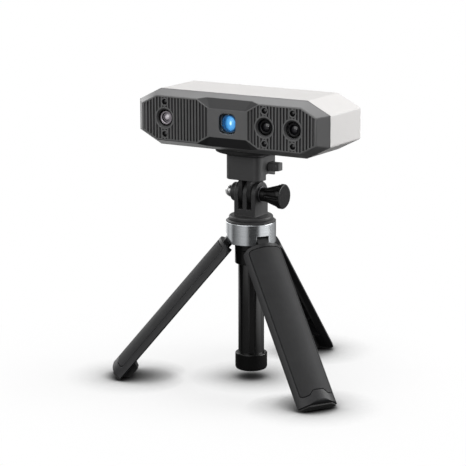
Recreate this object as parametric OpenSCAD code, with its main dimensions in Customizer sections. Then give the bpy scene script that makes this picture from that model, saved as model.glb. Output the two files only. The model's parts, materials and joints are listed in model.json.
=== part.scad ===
// Hand-size structured-light scanner on a folding mini tripod.
// The head looks along -Y, the floor is Z = 0 and the origin is the centre of the footprint.

/* [Scanner head] */
// Width of the scanner head
head_w = 130; // [116:1:146]
// Height of the scanner head
head_h = 33.5; // [32:0.5:38]
// Depth of the white rear housing
housing_d = 36.4; // [35:0.2:44]
// Corner cut of the head, along its width
corner_w = 15; // [12:0.5:18]
// Corner cut of the head, along its height
corner_h = 7.6; // [6.4:0.2:9]
// Wall of the rear housing
housing_wall = 2.2; // [1.8:0.1:2.6]
// How far the rear face lies behind the tilt pivot
head_rear = 16.2; // [14:0.2:20]

/* [Front frame] */
// Depth of the tapered front frame
frame_d = 6.4; // [5.8:0.2:7.4]
// Taper of the frame at each end
taper_w = 5.6; // [4.6:0.2:6.6]
// Taper of the frame at the top and the bottom
taper_h = 3.45; // [3:0.05:3.8]
// Corner cut of the front face, along its width
front_corner_w = 10.3; // [8:0.1:12]
// Thickness of the front face
front_t = 2.4; // [2.2:0.1:2.8]
// Wall of the frame round its rear pocket
pocket_wall = 1.3; // [1:0.1:1.4]
// Depth of the lip that enters the housing
lip_d = 3; // [2:0.5:4]
// Thickness of that lip
lip_t = 1.5; // [1:0.1:1.8]
// Grooves in each ribbed panel
groove_count = 21; // [14:1:24]
// Width of a groove between two ribs
groove_w = 1.05; // [0.7:0.05:1.3]
// Depth of a groove between two ribs
groove_d = 1; // [0.6:0.1:1.2]
// Plain border round each ribbed panel
panel_border = 0.9; // [0.6:0.1:1.4]
// Half width of the plain centre between the panels
centre_half_w = 12.5; // [11.5:0.5:14]
// Half height of the plain centre
centre_half_h = 8.5; // [7.8:0.1:9.2]
// Width of the cut corners beside the centre
valley_w = 8.5; // [7:0.5:9]
// How far back the valleys above and below the centre reach
valley_d = 2; // [1.4:0.1:2.2]
// How far the valleys spread towards the frame's edge
valley_spread = 3; // [2:0.5:4]

/* [Cameras and lights] */
// Distance of the left camera from its end of the front face
left_camera_in = 15.9; // [14.4:0.1:18]
// Distance of the outer right camera from its end of the front face
right_camera_in = 15.6; // [14.4:0.1:18]
// Distance between the two right cameras
camera_pitch = 18.8; // [18:0.1:19.6]
// Radius of a camera opening
camera_hole_r = 4.9; // [4.6:0.1:5.2]
// Width of the bevelled rim of a camera opening
camera_rim = 0.9; // [0.5:0.1:1.2]
// How far a lens barrel is set back from the front face
barrel_setback = 2; // [1:0.1:2.6]
// Radius of a lens barrel
barrel_r = 4; // [3.6:0.1:4.2]
// Radius of a camera lens
lens_r = 3; // [2.4:0.1:3.2]
// Depth of a camera lens
lens_d = 2.4; // [1.6:0.1:3]
// Radius of a light window
light_r = 1.7; // [1.4:0.1:1.9]
// Distance of the light windows from the upper and lower edge of the front face
light_in = 3.7; // [3.4:0.1:4.2]
// Width of a light board
light_board_w = 10.6; // [9.4:0.2:11.4]
// Thickness of a light board
light_board_t = 1; // [0.8:0.1:1.4]
// Width of a camera board
camera_board_w = 11.4; // [9.4:0.2:12]
// Height of a camera board
camera_board_h = 15; // [12:0.5:17]
// Thickness of a camera board
camera_board_t = 1.2; // [0.8:0.1:1.6]

/* [Projector] */
// Width of the projector window
window_w = 11.4; // [10:0.2:12.4]
// Height of the projector window
window_h = 12; // [10:0.2:13]
// Corner radius of the projector window
window_r = 3.4; // [2.4:0.1:4]
// Thickness of the projector window
window_t = 1.2; // [0.8:0.1:1.3]
// Width of the ledge that carries the window
window_ledge = 1; // [0.6:0.1:1.3]
// Radius of the projector barrel
projector_r = 5.2; // [4.8:0.1:5.6]
// Width of the projector engine
engine_w = 20; // [18:0.5:24]
// Height of the projector engine
engine_h = 15; // [13:0.5:16]
// Depth of the projector engine
engine_d = 12; // [10:0.5:13]

/* [Inner parts] */
// Length of the posts that carry the optical bench
bench_post = 7; // [6:0.2:8]
// Thickness of the optical bench
bench_t = 3; // [2:0.2:3.6]
// Room between the optical bench and each end of the head
bench_end = 11; // [9:0.5:14]
// Room between the optical bench and the head's top and bottom
bench_edge = 6.75; // [5.75:0.25:7.25]
// Height of the bench's screw posts above and below the middle
bench_post_z = 7; // [6.4:0.1:7.4]
// Room between the main board and each end of the head
board_end = 15; // [12:0.5:18]
// Room between the main board and the head's top and bottom
board_edge = 7.25; // [6.5:0.25:8.25]
// Thickness of the main board
board_t = 1.6; // [1:0.1:2]
// Length of the posts that carry the main board
board_post = 6; // [5:0.2:7]
// Radius of the small screws
screw_r = 1; // [0.8:0.05:1.1]
// Radius of the scan button on the rear face
button_r = 4; // [3:0.1:4.6]
// How far the scan button travels
button_travel = 0.6; // [0.3:0.1:0.9]
// How far the scan button stands out of the rear face
button_proud = 0.8; // [0.7:0.1:1.2]
// Sideways place of the scan button
button_x = 22; // [19:0.5:26]
// Sideways place of the status light
status_x = 33; // [31:0.5:36]

/* [Quick-release adapter] */
// Radius of the round pad under the head
pad_r = 21; // [18:0.5:24]
// Thickness of that pad
pad_t = 2.5; // [2:0.1:4]
// Thickness of the quick-release plate
plate_t = 2.2; // [1.8:0.1:4]
// Width and depth of the plate's tongue
tongue_w = 15; // [14:0.5:16]
// Height of the plate's tongue
tongue_h = 2.8; // [2.4:0.1:3]
// Width of the adapter block
block_w = 24.1; // [22:0.1:28]
// Depth of the adapter block
block_d = 22; // [20:0.2:24]
// Height of the adapter block
block_h = 14.5; // [13:0.5:18]
// Corner radius of the adapter block
block_r = 4.4; // [2:0.2:6]
// Rise of the block's underside behind its step
block_step = 3.3; // [2:0.1:4]
// How far in front of the middle that step lies
block_step_in = 2.4; // [0:0.1:4]
// Level length of that step before it slopes down to the rear
block_step_flat = 4.8; // [3:0.1:6]
// Height of the step at the rear edge
block_heel = 1; // [0.6:0.1:2]
// Height of the block's underside above the tilt pivot
block_rise = 9.2; // [8.8:0.1:12]
// Width of the release tab
tab_w = 6.4; // [5:0.1:8]
// Height of the release tab
tab_h = 4.8; // [4:0.1:4.8]
// How far the release tab stands out of the block
tab_out = 6.2; // [4:0.1:8]
// Cut of the release tab's outer front edge
tab_cut = 2.2; // [1:0.1:3]
// How far the release tab reaches into the block
tab_in = 4.6; // [3:0.1:5]
// How far back from the middle the release tab lies
tab_y = 2.9; // [0:0.1:4]
// Height of the release tab above the block's underside
tab_z = 5.2; // [5:0.1:5.6]
// Travel of the release tab
tab_travel = 2; // [1:0.1:2.4]
// Room for the spring behind the release tab
spring_room = 5.4; // [4.6:0.1:6]
// Radius of the tripod screws
tripod_screw_r = 3.175; // [3:0.025:3.3]

/* [Tilt joint] */
// Radius of the round finger ends
finger_r = 7.5; // [6.6:0.1:8.2]
// Thickness of each of the three lower fingers
prong_t = 2.9; // [2.6:0.1:3.4]
// Gap between two lower fingers
prong_gap = 3; // [2.8:0.1:3.4]
// Height of the tilt pivot above the flange
pivot_rise = 12.9; // [12.4:0.1:14.4]
// Height of solid base under the finger gaps
prong_foot = 4.1; // [3.4:0.1:4.2]
// Radius of the pivot bolt
bolt_r = 2.5; // [2:0.1:2.7]
// Radius of the boss that holds the nut
nut_boss_r = 5.7; // [5.3:0.1:6]
// Length of that boss
nut_boss_l = 4; // [3:0.1:4.6]
// Radius of the nut over its corners
nut_r = 4.4; // [4:0.1:4.6]
// Radius of the nut's dome
nut_dome_r = 3.5; // [3.1:0.1:3.7]
// How far the nut stands out of its boss before the dome
nut_reach = 2.6; // [1.6:0.1:3.4]
// Radius of the thumb knob
knob_r = 7.4; // [6.6:0.1:8.4]
// Radius of the knob's neck
knob_neck_r = 4.3; // [3.8:0.1:5]
// Length of the knob
knob_l = 15; // [12:0.2:16]
// Length of the knob's round rim
knob_rim = 3.4; // [2.4:0.2:4.4]
// Grip flutes round the knob
knob_flutes = 8; // [6:1:10]
// Radius of a flute
flute_r = 1.2; // [0.9:0.1:1.3]

/* [Tripod head] */
// Radius of the aluminium collar ring
ring_r = 14.93; // [14.8:0.05:16.5]
// Height of the collar ring
ring_h = 12.6; // [12:0.2:16]
// Wall of the collar ring
ring_wall = 2.5; // [2:0.1:2.6]
// How far the ring reaches below the leg pins
ring_drop = 3.3; // [3.1:0.1:3.5]
// Height of the bevelled cap on the ring
cap_h = 1.2; // [1:0.1:2]
// How far the cap's bevel draws in
cap_bevel = 1.3; // [0.5:0.1:1.4]
// Radius of the flange under the lower fingers
flange_r = 13.25; // [11.5:0.25:13.5]
// Height of that flange
flange_h = 2.4; // [2:0.1:4]
// Rounding of the flange's upper edge
flange_edge = 1; // [0.6:0.1:1.4]

/* [Column and pole] */
// Radius of the column tube
column_r = 7.8; // [7.6:0.05:7.9]
// Width of the grooves in the column
column_groove_w = 3.2; // [2.4:0.1:3.6]
// Depth of the grooves in the column
column_groove_d = 1.2; // [0.6:0.1:1.4]
// Angle of a groove from the leg beside it
column_groove_angle = 27; // [20:1:34]
// Radius of the collar under the ring
collar_r = 9.7; // [9:0.1:9.8]
// Height of that collar
collar_h = 13; // [8:0.2:18]
// Radius of the column's bottom cap
foot_cap_r = 9.65; // [9:0.05:9.8]
// Height of the column's bottom cap
foot_cap_h = 10.4; // [8:0.2:16]
// Floor of the column's bottom cap
foot_cap_floor = 2; // [1:0.2:4]
// Height of the bottom cap above the floor
foot_cap_z = 5.3; // [3:0.1:10]
// Radius of the lower pole stage
pole_r = 5.4; // [5:0.1:5.6]
// Radius of the upper pole stage
pole_tip_r = 3.8; // [3.6:0.1:4]
// Travel of each pole stage
pole_travel = 55; // [30:1:58]

/* [Legs] */
// Length of a leg from its pin to its sole
leg_len = 110; // [100:0.2:124]
// Spread of an open leg from the vertical
leg_spread = 40; // [36:0.5:44]
// Width of a leg
leg_w = 26.2; // [25:0.1:26.4]
// Width of a leg at its inner edges
leg_inner_w = 20; // [19:0.1:21]
// Thickness of a leg
leg_t = 9; // [8.6:0.1:9.4]
// Radius of a leg's round outer face
leg_r = 14.85; // [14.6:0.05:15.2]
// Wall of a leg's sides
leg_wall = 1.9; // [1.5:0.1:2]
// Radius of the circle on which the legs are pinned
hinge_r = 11.5; // [11.4:0.05:11.7]
// Radius of a leg pin
pin_r = 1; // [0.8:0.05:1.2]
// Radius of a leg's hinge eye
eye_r = 2; // [1.9:0.05:2.1]
// Width of a leg's hinge tongue
leg_tongue_w = 7.2; // [6:0.1:8]
// Radius of a leg's shoulder corners
shoulder_r = 4.5; // [2:0.5:5]
// Thickness of a leg's outer cover
cover_t = 1.4; // [1:0.1:1.6]
// Width of a leg's outer cover
cover_w = 21; // [19:0.2:22.4]
// Distance of the cover's upper edge from the leg's shoulder
cover_inset = 2.2; // [1.8:0.2:5]
// Length of a leg's end cap below its cover
cover_end = 6.6; // [6:0.2:10]
// Radius of the cover's corners
cover_corner = 1.8; // [1:0.1:3]
// Rise of the arch in the cover's lower edge
arch_rise = 2.6; // [1.8:0.1:3.2]
// Half width of that arch's level part
arch_half_w = 3.5; // [2.5:0.1:5]
// Seam round a leg's cover
seam = 0.35; // [0.2:0.05:0.5]
// Distance of the crossed ribs from the leg's shoulder
truss_inset = 8; // [6:0.5:12]
// Length of a leg's solid toe
toe_l = 14; // [13:0.5:18]
// Bays of crossed ribs in a leg
truss_bays = 5; // [3:1:7]
// Thickness of a crossed rib
truss_t = 1.2; // [0.8:0.1:1.6]
// Rounding of a leg's lower outer edge
toe_r = 3; // [2:0.2:3.4]
// Thickness of the rubber sole
sole_t = 1; // [0.8:0.1:1.5]
// How far the rubber heel stands in from the leg
heel_d = 4.4; // [3:0.1:4.6]
// Half width of the rubber heel
heel_half_w = 3.8; // [3:0.1:3.9]
// Length of the rubber heel
heel_l = 13; // [9:0.5:13]

/* [Hidden] */
$fn = 64;

// Clearances
running_fit = 0.05;
press_gap = 0.02;
slide_gap = 0.1;
part_gap = 0.3;
slip_gap = 0.15;
cut = 1;

// Colours
white = [0.90, 0.89, 0.88];
frame_grey = [0.36, 0.36, 0.36];
black = [0.16, 0.16, 0.17];
rubber = [0.09, 0.09, 0.09];
metal = [0.72, 0.73, 0.75];
glass = [0.10, 0.10, 0.14];

// Leg directions
leg_rear = 90;
leg_left = 210;
leg_right = 330;
leg_angles = [leg_rear, leg_left, leg_right];

// Heights, from the floor up
hinge_z = leg_len * cos(leg_spread) + leg_t / 2 * sin(leg_spread);
ring_z = hinge_z - ring_drop;
ring_top = ring_z + ring_h;
cap_z = ring_top + part_gap;
flange_z = cap_z + cap_h;
base_top = flange_z + flange_h;
pivot_z = base_top + pivot_rise;
block_z = pivot_z + block_rise;
plate_z = block_z + block_h;
pad_z = plate_z + plate_t;
head_z = pad_z + pad_t;
head_mid = head_z + head_h / 2;

// Leg section
leg_half_w = leg_w / 2;
crown_x = leg_t / 2 - leg_r;
edge_x = crown_x + sqrt(pow(leg_r, 2) - pow(leg_half_w, 2));
flank = (leg_half_w - leg_inner_w / 2) / (edge_x + leg_t / 2);
leg_shoulder = norm([ring_r - hinge_r + part_gap, ring_drop + part_gap]);

// The column stands off the origin, so that the footprint is centred on it
shell_len = leg_len - sole_t;
toe_reach = hinge_r + (leg_t / 2 - toe_r) * cos(leg_spread) + (shell_len - toe_r) * sin(leg_spread) + toe_r;
edge_reach = hinge_r + edge_x * cos(leg_spread) + shell_len * sin(leg_spread);
front_reach = edge_reach * cos(60) + leg_w / 2 * sin(60);
column_y = (front_reach - toe_reach) / 2;

// Depths in the head, along Y from the tilt pivot
joint_y = head_rear - housing_d;
face_y = joint_y - frame_d;
pocket_y = face_y + front_t;
bench_y = pocket_y + bench_post;
bench_back = bench_y + bench_t;
wall_y = head_rear - housing_wall;
board_back = wall_y - board_post;
board_front = board_back - board_t;
barrel_y = face_y + barrel_setback;
light_board_y = pocket_y + 2.6;
engine_back = bench_back + engine_d;

// Head outlines
front_w = head_w - 2 * taper_w;
front_h = head_h - 2 * taper_h;
front_half = front_h / 2;
front_corner_h = front_corner_w * corner_h / corner_w;
valley_h = front_half - centre_half_h;
light_rise = front_half - light_in;
left_camera_x = left_camera_in - front_w / 2;
outer_camera_x = front_w / 2 - right_camera_in;
inner_camera_x = outer_camera_x - camera_pitch;
camera_xs = [left_camera_x, inner_camera_x, outer_camera_x];
right_camera_xs = [inner_camera_x, outer_camera_x];
bench_w = head_w - 2 * bench_end;
bench_h = head_h - 2 * bench_edge;
bench_post_x = outer_camera_x - camera_pitch / 2;
bench_posts = [for (x = [-1, 1], z = [-1, 1]) [x * bench_post_x, z * bench_post_z]];
bench_post_r = 2.2;
board_w = head_w - 2 * board_end;
board_h = head_h - 2 * board_edge;
board_post_x = board_w / 2 - 5;
board_post_z = board_h / 2 - 3;
board_posts = [for (x = [-1, 1], z = [-1, 1]) [x * board_post_x, z * board_post_z]];
board_post_r = 2.4;
screw_head_r = 1.9;
screw_head_h = 1.4;
insert_r = 4;
insert_h = 7;
insert_boss_r = 6;

// Leg lengths
cover_top = leg_shoulder + cover_inset;
cover_bottom = leg_len - cover_end;
corner_steps = 5;
leg_skin = 1.2;
channel_x = max(collar_r, foot_cap_r) + part_gap + running_fit - hinge_r;
channel_half_w = leg_inner_w / 2 - leg_wall;
channel_end = leg_len - toe_l;
truss_top = leg_shoulder + truss_inset;
truss_x = channel_x + part_gap;

// Corner cut of an outline moved in by a wall, so that the wall keeps its thickness
function inset_corner(c, other, wall) = c - wall + wall * (norm([c, other]) - c) / other;

// Octagon with cut corners, moved in by a wall
function octagon(w, h, cw, ch, wall = 0) =
    let (hw = w / 2 - wall, hh = h / 2 - wall)
    let (iw = inset_corner(cw, ch, wall), ih = inset_corner(ch, cw, wall))
    [[hw - iw, hh], [hw, hh - ih], [hw, ih - hh], [hw - iw, -hh],
     [iw - hw, -hh], [-hw, ih - hh], [-hw, hh - ih], [iw - hw, hh]];

// Ribbed panel on the right of the front face
function panel(border) =
    let (x0 = centre_half_w + border, x1 = front_w / 2 - border, hh = front_half - border)
    let (vw = inset_corner(valley_w, valley_h, border), vh = inset_corner(valley_h, valley_w, border))
    let (cw = inset_corner(front_corner_w, front_corner_h, border))
    let (ch = inset_corner(front_corner_h, front_corner_w, border))
    [[x0 + vw, hh], [x1 - cw, hh], [x1, hh - ch], [x1, ch - hh],
     [x1 - cw, -hh], [x0 + vw, -hh], [x0, vh - hh], [x0, hh - vh]];

// Placing
module on_column() translate([0, column_y, 0]) children();
module on_head() translate([0, column_y, head_mid]) children();
module at_leg(angle) on_column() rotate([0, 0, angle]) translate([hinge_r, 0, hinge_z])
    rotate([0, -leg_spread, 0]) children();
module each_camera(xs = camera_xs) for (x = xs) translate([x, 0, 0]) children();
module each_light() each_camera() for (side = [-1, 1]) translate([0, 0, side * light_rise]) children();
module each_post(posts) for (p = posts) translate([p[0], 0, p[1]]) children();

// Shapes that repeat
// A slab or rod starts at its rear face and runs forwards, along -Y
module slab(back, depth) translate([0, back, 0]) rotate([90, 0, 0]) linear_extrude(depth) children();
module rod(r, back, depth) translate([0, back, 0]) rotate([90, 0, 0]) cylinder(r = r, h = depth);
module rod_x(r, from, to) translate([from, 0, 0]) rotate([0, 90, 0]) cylinder(r = r, h = to - from);

module rounded_slab(w, h, r, back, depth) {
    slab(back, depth) square([w - 2 * r, h], center = true);
    slab(back, depth) square([w, h - 2 * r], center = true);
    for (x = [-1, 1], z = [-1, 1]) translate([x * (w / 2 - r), 0, z * (h / 2 - r)]) rod(r, back, depth);
}

module rounded_block(w, d, h, r) {
    translate([r - w / 2, -d / 2, 0]) cube([w - 2 * r, d, h]);
    translate([-w / 2, r - d / 2, 0]) cube([w, d - 2 * r, h]);
    for (x = [-1, 1], y = [-1, 1]) translate([x * (w / 2 - r), y * (d / 2 - r), 0]) cylinder(r = r, h = h);
}

module small_screw(shaft) {
    cylinder(r = screw_r, h = shaft);
    translate([0, 0, -screw_head_h]) cylinder(r = screw_head_r, h = screw_head_h);
}

// Lens with a round front, seated with its flat side at the back
module lens(r, back, depth) intersection() {
    rod(r, back, depth + cut);
    translate([0, back - depth + 1.5 * r, 0]) sphere(r = 1.5 * r);
}

// Scanner casing

module rear_housing() color(white) on_head() difference() {
    union() {
        difference() {
            slab(head_rear, housing_d) polygon(octagon(head_w, head_h, corner_w, corner_h));
            slab(wall_y, housing_d) polygon(octagon(head_w, head_h, corner_w, corner_h, housing_wall));
        }
        translate([0, 0, -head_h / 2]) cylinder(r = insert_boss_r, h = insert_h + 1);
        each_post(board_posts) rod(board_post_r, wall_y + cut, board_post + cut);
    }
    translate([0, 0, -head_h / 2 - cut]) cylinder(r = insert_r + press_gap, h = insert_h + cut);
    each_post(board_posts) rod(screw_r + running_fit, wall_y, board_post + cut);
    usb_outline(slip_gap, head_rear + cut, housing_wall + 2 * cut);
    translate([button_x, 0, 0]) rod(button_r + slide_gap, head_rear + cut, housing_wall + 2 * cut);
    translate([status_x, 0, 0]) rod(status_r + press_gap, head_rear + cut, housing_wall + 2 * cut);
}

// Cut for the valley above the plain centre; its faces meet at the centre's upper edge
module valley_cut() {
    low = [centre_half_w, face_y, centre_half_h];
    outer = [centre_half_w + valley_w, face_y, front_half];
    back = [centre_half_w + valley_spread, face_y + valley_d, front_half + valley_d * taper_h / frame_d];
    right = [low - 0.5 * (back - low), back + 0.5 * (back - low), 2 * outer - back];
    points = concat(right, [for (p = right) [-p[0], p[1], p[2]]]);
    polyhedron(points, [[2, 1, 0], [4, 5, 3], [1, 4, 3, 0], [2, 5, 4, 1], [0, 3, 5, 2]]);
}

module panel_grooves() {
    pitch = (front_w / 2 - centre_half_w - 2 * panel_border) / groove_count;
    first = centre_half_w + panel_border + pitch / 2;
    intersection() {
        slab(face_y + groove_d, groove_d + cut) polygon(panel(panel_border));
        for (i = [0 : groove_count - 1])
            translate([first + i * pitch - groove_w / 2, face_y - 2 * cut, -front_half])
                cube([groove_w, groove_d + 2 * cut, front_h]);
    }
}

module front_frame() color(frame_grey) on_head() difference() {
    union() {
        difference() {
            hull() {
                slab(joint_y, 0.01) polygon(octagon(head_w, head_h, corner_w, corner_h));
                slab(face_y + 0.01, 0.01) polygon(octagon(front_w, front_h, front_corner_w, front_corner_h));
            }
            slab(joint_y + cut, frame_d - front_t + cut)
                polygon(octagon(front_w, front_h, front_corner_w, front_corner_h, pocket_wall));
        }
        difference() {
            slab(joint_y + lip_d, lip_d + cut)
                polygon(octagon(head_w, head_h, corner_w, corner_h, housing_wall + slip_gap));
            slab(joint_y + lip_d + cut, lip_d + 3 * cut)
                polygon(octagon(head_w, head_h, corner_w, corner_h, housing_wall + slip_gap + lip_t));
        }
        each_post(bench_posts) rod(bench_post_r, bench_y, bench_post + cut);
    }
    valley_cut();
    mirror([0, 0, 1]) valley_cut();
    difference() {
        union() {
            panel_grooves();
            mirror([1, 0, 0]) panel_grooves();
        }
        each_camera() rod(camera_hole_r + 2 * camera_rim, face_y + front_t, 2 * front_t);
        each_light() rod(light_r + camera_rim, face_y + front_t, 2 * front_t);
    }
    each_camera() {
        rod(camera_hole_r, pocket_y + cut, front_t + 2 * cut);
        translate([0, face_y + camera_rim, 0]) rotate([90, 0, 0])
            cylinder(r1 = camera_hole_r, r2 = camera_hole_r + 2 * camera_rim, h = 2 * camera_rim);
    }
    each_light() rod(light_r + press_gap, pocket_y + cut, front_t + 2 * cut);
    rounded_slab(window_w, window_h, window_r, face_y + window_seat, window_seat + cut);
    rounded_slab(window_w - 2 * window_ledge, window_h - 2 * window_ledge, window_r - window_ledge,
        pocket_y + cut, front_t + 2 * cut);
    each_post(bench_posts) rod(screw_r + running_fit, bench_y + cut, bench_post + cut - 1);
}

// Optics

module optical_bench() color(metal) on_head() difference() {
    slab(bench_back, bench_t) polygon(octagon(bench_w, bench_h, 6, 4));
    each_camera() rod(barrel_r + running_fit, bench_back + cut, bench_t + 2 * cut);
    rod(projector_r + running_fit, bench_back + cut, bench_t + 2 * cut);
    each_post(bench_posts) rod(screw_r + slide_gap, bench_back + cut, bench_t + 2 * cut);
}

module bench_screws() color(metal) on_head() each_post(bench_posts)
    translate([0, bench_back, 0]) rotate([90, 0, 0]) small_screw(bench_t + bench_post - 2);

module camera_barrels() color(black) on_head() each_camera() difference() {
    union() {
        rod(barrel_r, bench_back, bench_back - barrel_y);
        rod(barrel_r + 1.2, bench_y, 1.2);
    }
    rod(lens_r + running_fit, barrel_y + lens_d, lens_d + cut);
    rod(lens_r - 1, bench_back + cut, bench_back - barrel_y + 2 * cut);
}

module left_lens() color(glass) on_head() each_camera([left_camera_x])
    lens(lens_r, barrel_y + lens_d, lens_d);

module right_lenses() color(glass) on_head() each_camera(right_camera_xs)
    lens(lens_r, barrel_y + lens_d, lens_d);

module camera_boards() color("darkgreen") on_head() each_camera()
    slab(bench_back + camera_board_t, camera_board_t)
        square([camera_board_w, camera_board_h], center = true);

module light_windows() color(glass) on_head() each_light()
    rod(light_r, light_board_y, light_board_y - face_y - part_gap);

module light_boards() color("darkgreen") on_head() each_camera() difference() {
    slab(light_board_y + light_board_t, light_board_t)
        square([light_board_w, 2 * light_rise + 2 * light_r], center = true);
    rod(barrel_r + part_gap, light_board_y + 2 * cut, light_board_t + 3 * cut);
}

// Projector

window_back = 0.4;
window_seat = window_back + window_t;

module projector_window() color(glass) on_head()
    rounded_slab(window_w - 2 * running_fit, window_h - 2 * running_fit, window_r - running_fit,
        face_y + window_seat, window_t);

projector_lens_r = projector_r - 1;
projector_lens_d = 2.6;
projector_front = pocket_y + part_gap;

module projector_barrel() color(black) on_head() difference() {
    rod(projector_r, bench_back, bench_back - projector_front);
    rod(projector_lens_r + running_fit, projector_front + projector_lens_d, projector_lens_d + cut);
    rod(projector_lens_r - 1.2, bench_back + cut, bench_back - projector_front + 2 * cut);
}

module projector_lens() color(glass) on_head()
    lens(projector_lens_r, projector_front + projector_lens_d, projector_lens_d);

module projector_engine() color(black) on_head() difference() {
    slab(engine_back, engine_d) square([engine_w, engine_h], center = true);
    rod(projector_lens_r - 1.2, bench_back + 4, 4 + cut);
}

heat_base = 2;
fin_t = 1.1;
fin_count = 6;

module heat_sink() color(metal) on_head() {
    depth = board_front - part_gap - engine_back;
    slab(engine_back + heat_base, heat_base) square([engine_w, engine_h], center = true);
    for (i = [0 : fin_count - 1])
        translate([i * (engine_w - fin_t) / (fin_count - 1) - engine_w / 2, engine_back, -engine_h / 2])
            cube([fin_t, depth, engine_h]);
}

// Electronics

chips = [[-board_w / 4 - 3, 12, 1.2], [board_w / 4 + 1, 10, 1.2], [board_w / 4 + 13, 7, 1]];

module main_board() color("darkgreen") on_head() difference() {
    slab(board_back, board_t) square([board_w, board_h], center = true);
    each_post(board_posts) rod(screw_r + slide_gap, board_back + cut, board_t + 2 * cut);
}

module board_chips() color(black) on_head() for (c = chips)
    translate([c[0], 0, 0]) slab(board_front, c[2]) square(c[1], center = true);

module board_screws() color(metal) on_head() each_post(board_posts)
    translate([0, board_front, 0]) rotate([-90, 0, 0]) small_screw(board_t + board_post - 1.5);

usb_w = 8.9;
usb_h = 3.2;
usb_wall = 0.3;
usb_set_in = 0.2;

module usb_outline(grow, back, depth)
    rounded_slab(usb_w + 2 * grow, usb_h + 2 * grow, usb_h / 2 + grow - 0.01, back, depth);

module usb_socket() color(metal) on_head() {
    length = head_rear - usb_set_in - board_back;
    difference() {
        usb_outline(0, head_rear - usb_set_in, length);
        usb_outline(-usb_wall, head_rear, length - 1.5);
    }
    slab(head_rear - 1.2, length - 2.4) square([6.7, 0.7], center = true);
}

flange_extra = 1.2;
button_flange_t = 0.8;
switch_h = 2.2;

module scan_button() color(frame_grey) on_head() translate([button_x, 0, 0]) {
    rod(button_r, head_rear + button_proud, housing_wall + button_proud + slide_gap + 0.01);
    rod(button_r + flange_extra, wall_y - slide_gap, button_flange_t);
    rod(screw_r, wall_y - slide_gap - 0.1,
        board_post - slide_gap - 0.1 - switch_h - button_travel - slip_gap);
}

module button_switch() color(black) on_head() translate([button_x, 0, 0])
    slab(board_back + switch_h, switch_h) square(6, center = true);

status_r = 1.2;

module status_light() color("palegreen") on_head() translate([status_x, 0, 0])
    rod(status_r, head_rear, head_rear - board_back);

// Quick-release adapter

module thread_insert() color("goldenrod") on_head() translate([0, 0, -head_h / 2]) difference() {
    cylinder(r = insert_r, h = insert_h);
    translate([0, 0, -cut]) cylinder(r = tripod_screw_r + running_fit, h = insert_h + 2 * cut);
}

module base_pad() color(rubber) on_column() translate([0, 0, pad_z]) difference() {
    cylinder(r = pad_r, h = pad_t);
    translate([0, 0, -cut]) cylinder(r = tripod_screw_r + slide_gap, h = pad_t + 2 * cut);
}

plate_screw_head_r = 5;
plate_screw_head_h = 1.6;

module quick_release_plate() color(black) on_column() translate([0, 0, plate_z]) difference() {
    union() {
        rounded_block(block_w, block_d, plate_t, block_r);
        translate([0, 0, -tongue_h]) linear_extrude(tongue_h + cut) square(tongue_w, center = true);
    }
    translate([0, 0, -tongue_h - cut]) {
        cylinder(r = tripod_screw_r + slide_gap, h = tongue_h + plate_t + 2 * cut);
        cylinder(r = plate_screw_head_r + slide_gap, h = plate_screw_head_h + cut);
    }
}

module plate_screw() color(metal) on_column() translate([0, 0, plate_z - tongue_h]) {
    cylinder(r = plate_screw_head_r, h = plate_screw_head_h);
    cylinder(r = tripod_screw_r, h = tongue_h + plate_t + pad_t + insert_h - 1);
}

// Two fingers hang from the block between the three fingers of the base
module tilt_fingers() for (side = [-1, 1]) {
    finger_t = prong_gap - 2 * slip_gap;
    translate([side * (prong_t + prong_gap) / 2 - finger_t / 2, 0, pivot_z]) {
        rod_x(finger_r, 0, finger_t);
        translate([0, -finger_r, 0]) cube([finger_t, 2 * finger_r, block_rise + block_step + cut]);
    }
}

module tab_tunnel(grow) translate([block_w / 2 - tab_in, tab_y - tab_w / 2 - grow, block_z + tab_z - grow])
    cube([tab_in + tab_out, tab_w + 2 * grow, tab_h + 2 * grow]);

module adapter_block() color(black) on_column() difference() {
    union() {
        difference() {
            translate([0, 0, block_z]) rounded_block(block_w, block_d, block_h, block_r);
            translate([-block_w, -block_step_in, block_z]) rotate([90, 0, 90]) linear_extrude(2 * block_w)
                polygon([[0, -cut], [block_d, -cut], [block_d, block_heel],
                    [block_d / 2 + block_step_in, block_heel], [block_step_flat, block_step], [0, block_step]]);
        }
        tilt_fingers();
    }
    translate([0, 0, pivot_z]) rod_x(bolt_r + running_fit, -block_w, block_w);
    translate([0, 0, plate_z - tongue_h - part_gap]) linear_extrude(tongue_h + part_gap + cut)
        square(tongue_w + 2 * slip_gap, center = true);
    tab_tunnel(slip_gap);
    translate([-spring_room, 0, 0]) tab_tunnel(slip_gap);
}

module release_tab() color(black) on_column() translate([block_w / 2, tab_y - tab_w / 2, block_z + tab_z])
    linear_extrude(tab_h) polygon([[-tab_in, 0], [tab_out - tab_cut, 0], [tab_out, tab_cut],
        [tab_out, tab_w], [-tab_in, tab_w]]);

spring_r = 1.5;
wire_r = 0.28;
spring_turns = 5;
spring_rings = 12;
wire_sides = 6;

module release_spring() color(metal) on_column() {
    start = block_w / 2 - tab_in - spring_room + wire_r + press_gap;
    length = spring_room - 2 * wire_r - 2 * press_gap;
    last = spring_turns * spring_rings;
    points = [for (i = [0 : last], j = [0 : wire_sides - 1])
        let (turn = 360 * i / spring_rings, side = 360 * j / wire_sides)
        let (r = spring_r + wire_r * cos(side), x = start + length * i / last + wire_r * sin(side))
        [x, tab_y + r * cos(turn), block_z + tab_z + tab_h / 2 + r * sin(turn)]];
    sides = [for (i = [0 : last - 1], j = [0 : wire_sides - 1])
        let (k = (j + 1) % wire_sides, a = i * wire_sides, b = a + wire_sides)
        each [[a + j, a + k, b + k], [a + j, b + k, b + j]]];
    ends = [[for (j = [wire_sides - 1 : -1 : 0]) j], [for (j = [0 : wire_sides - 1]) last * wire_sides + j]];
    polyhedron(points, concat(sides, ends));
}

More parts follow.
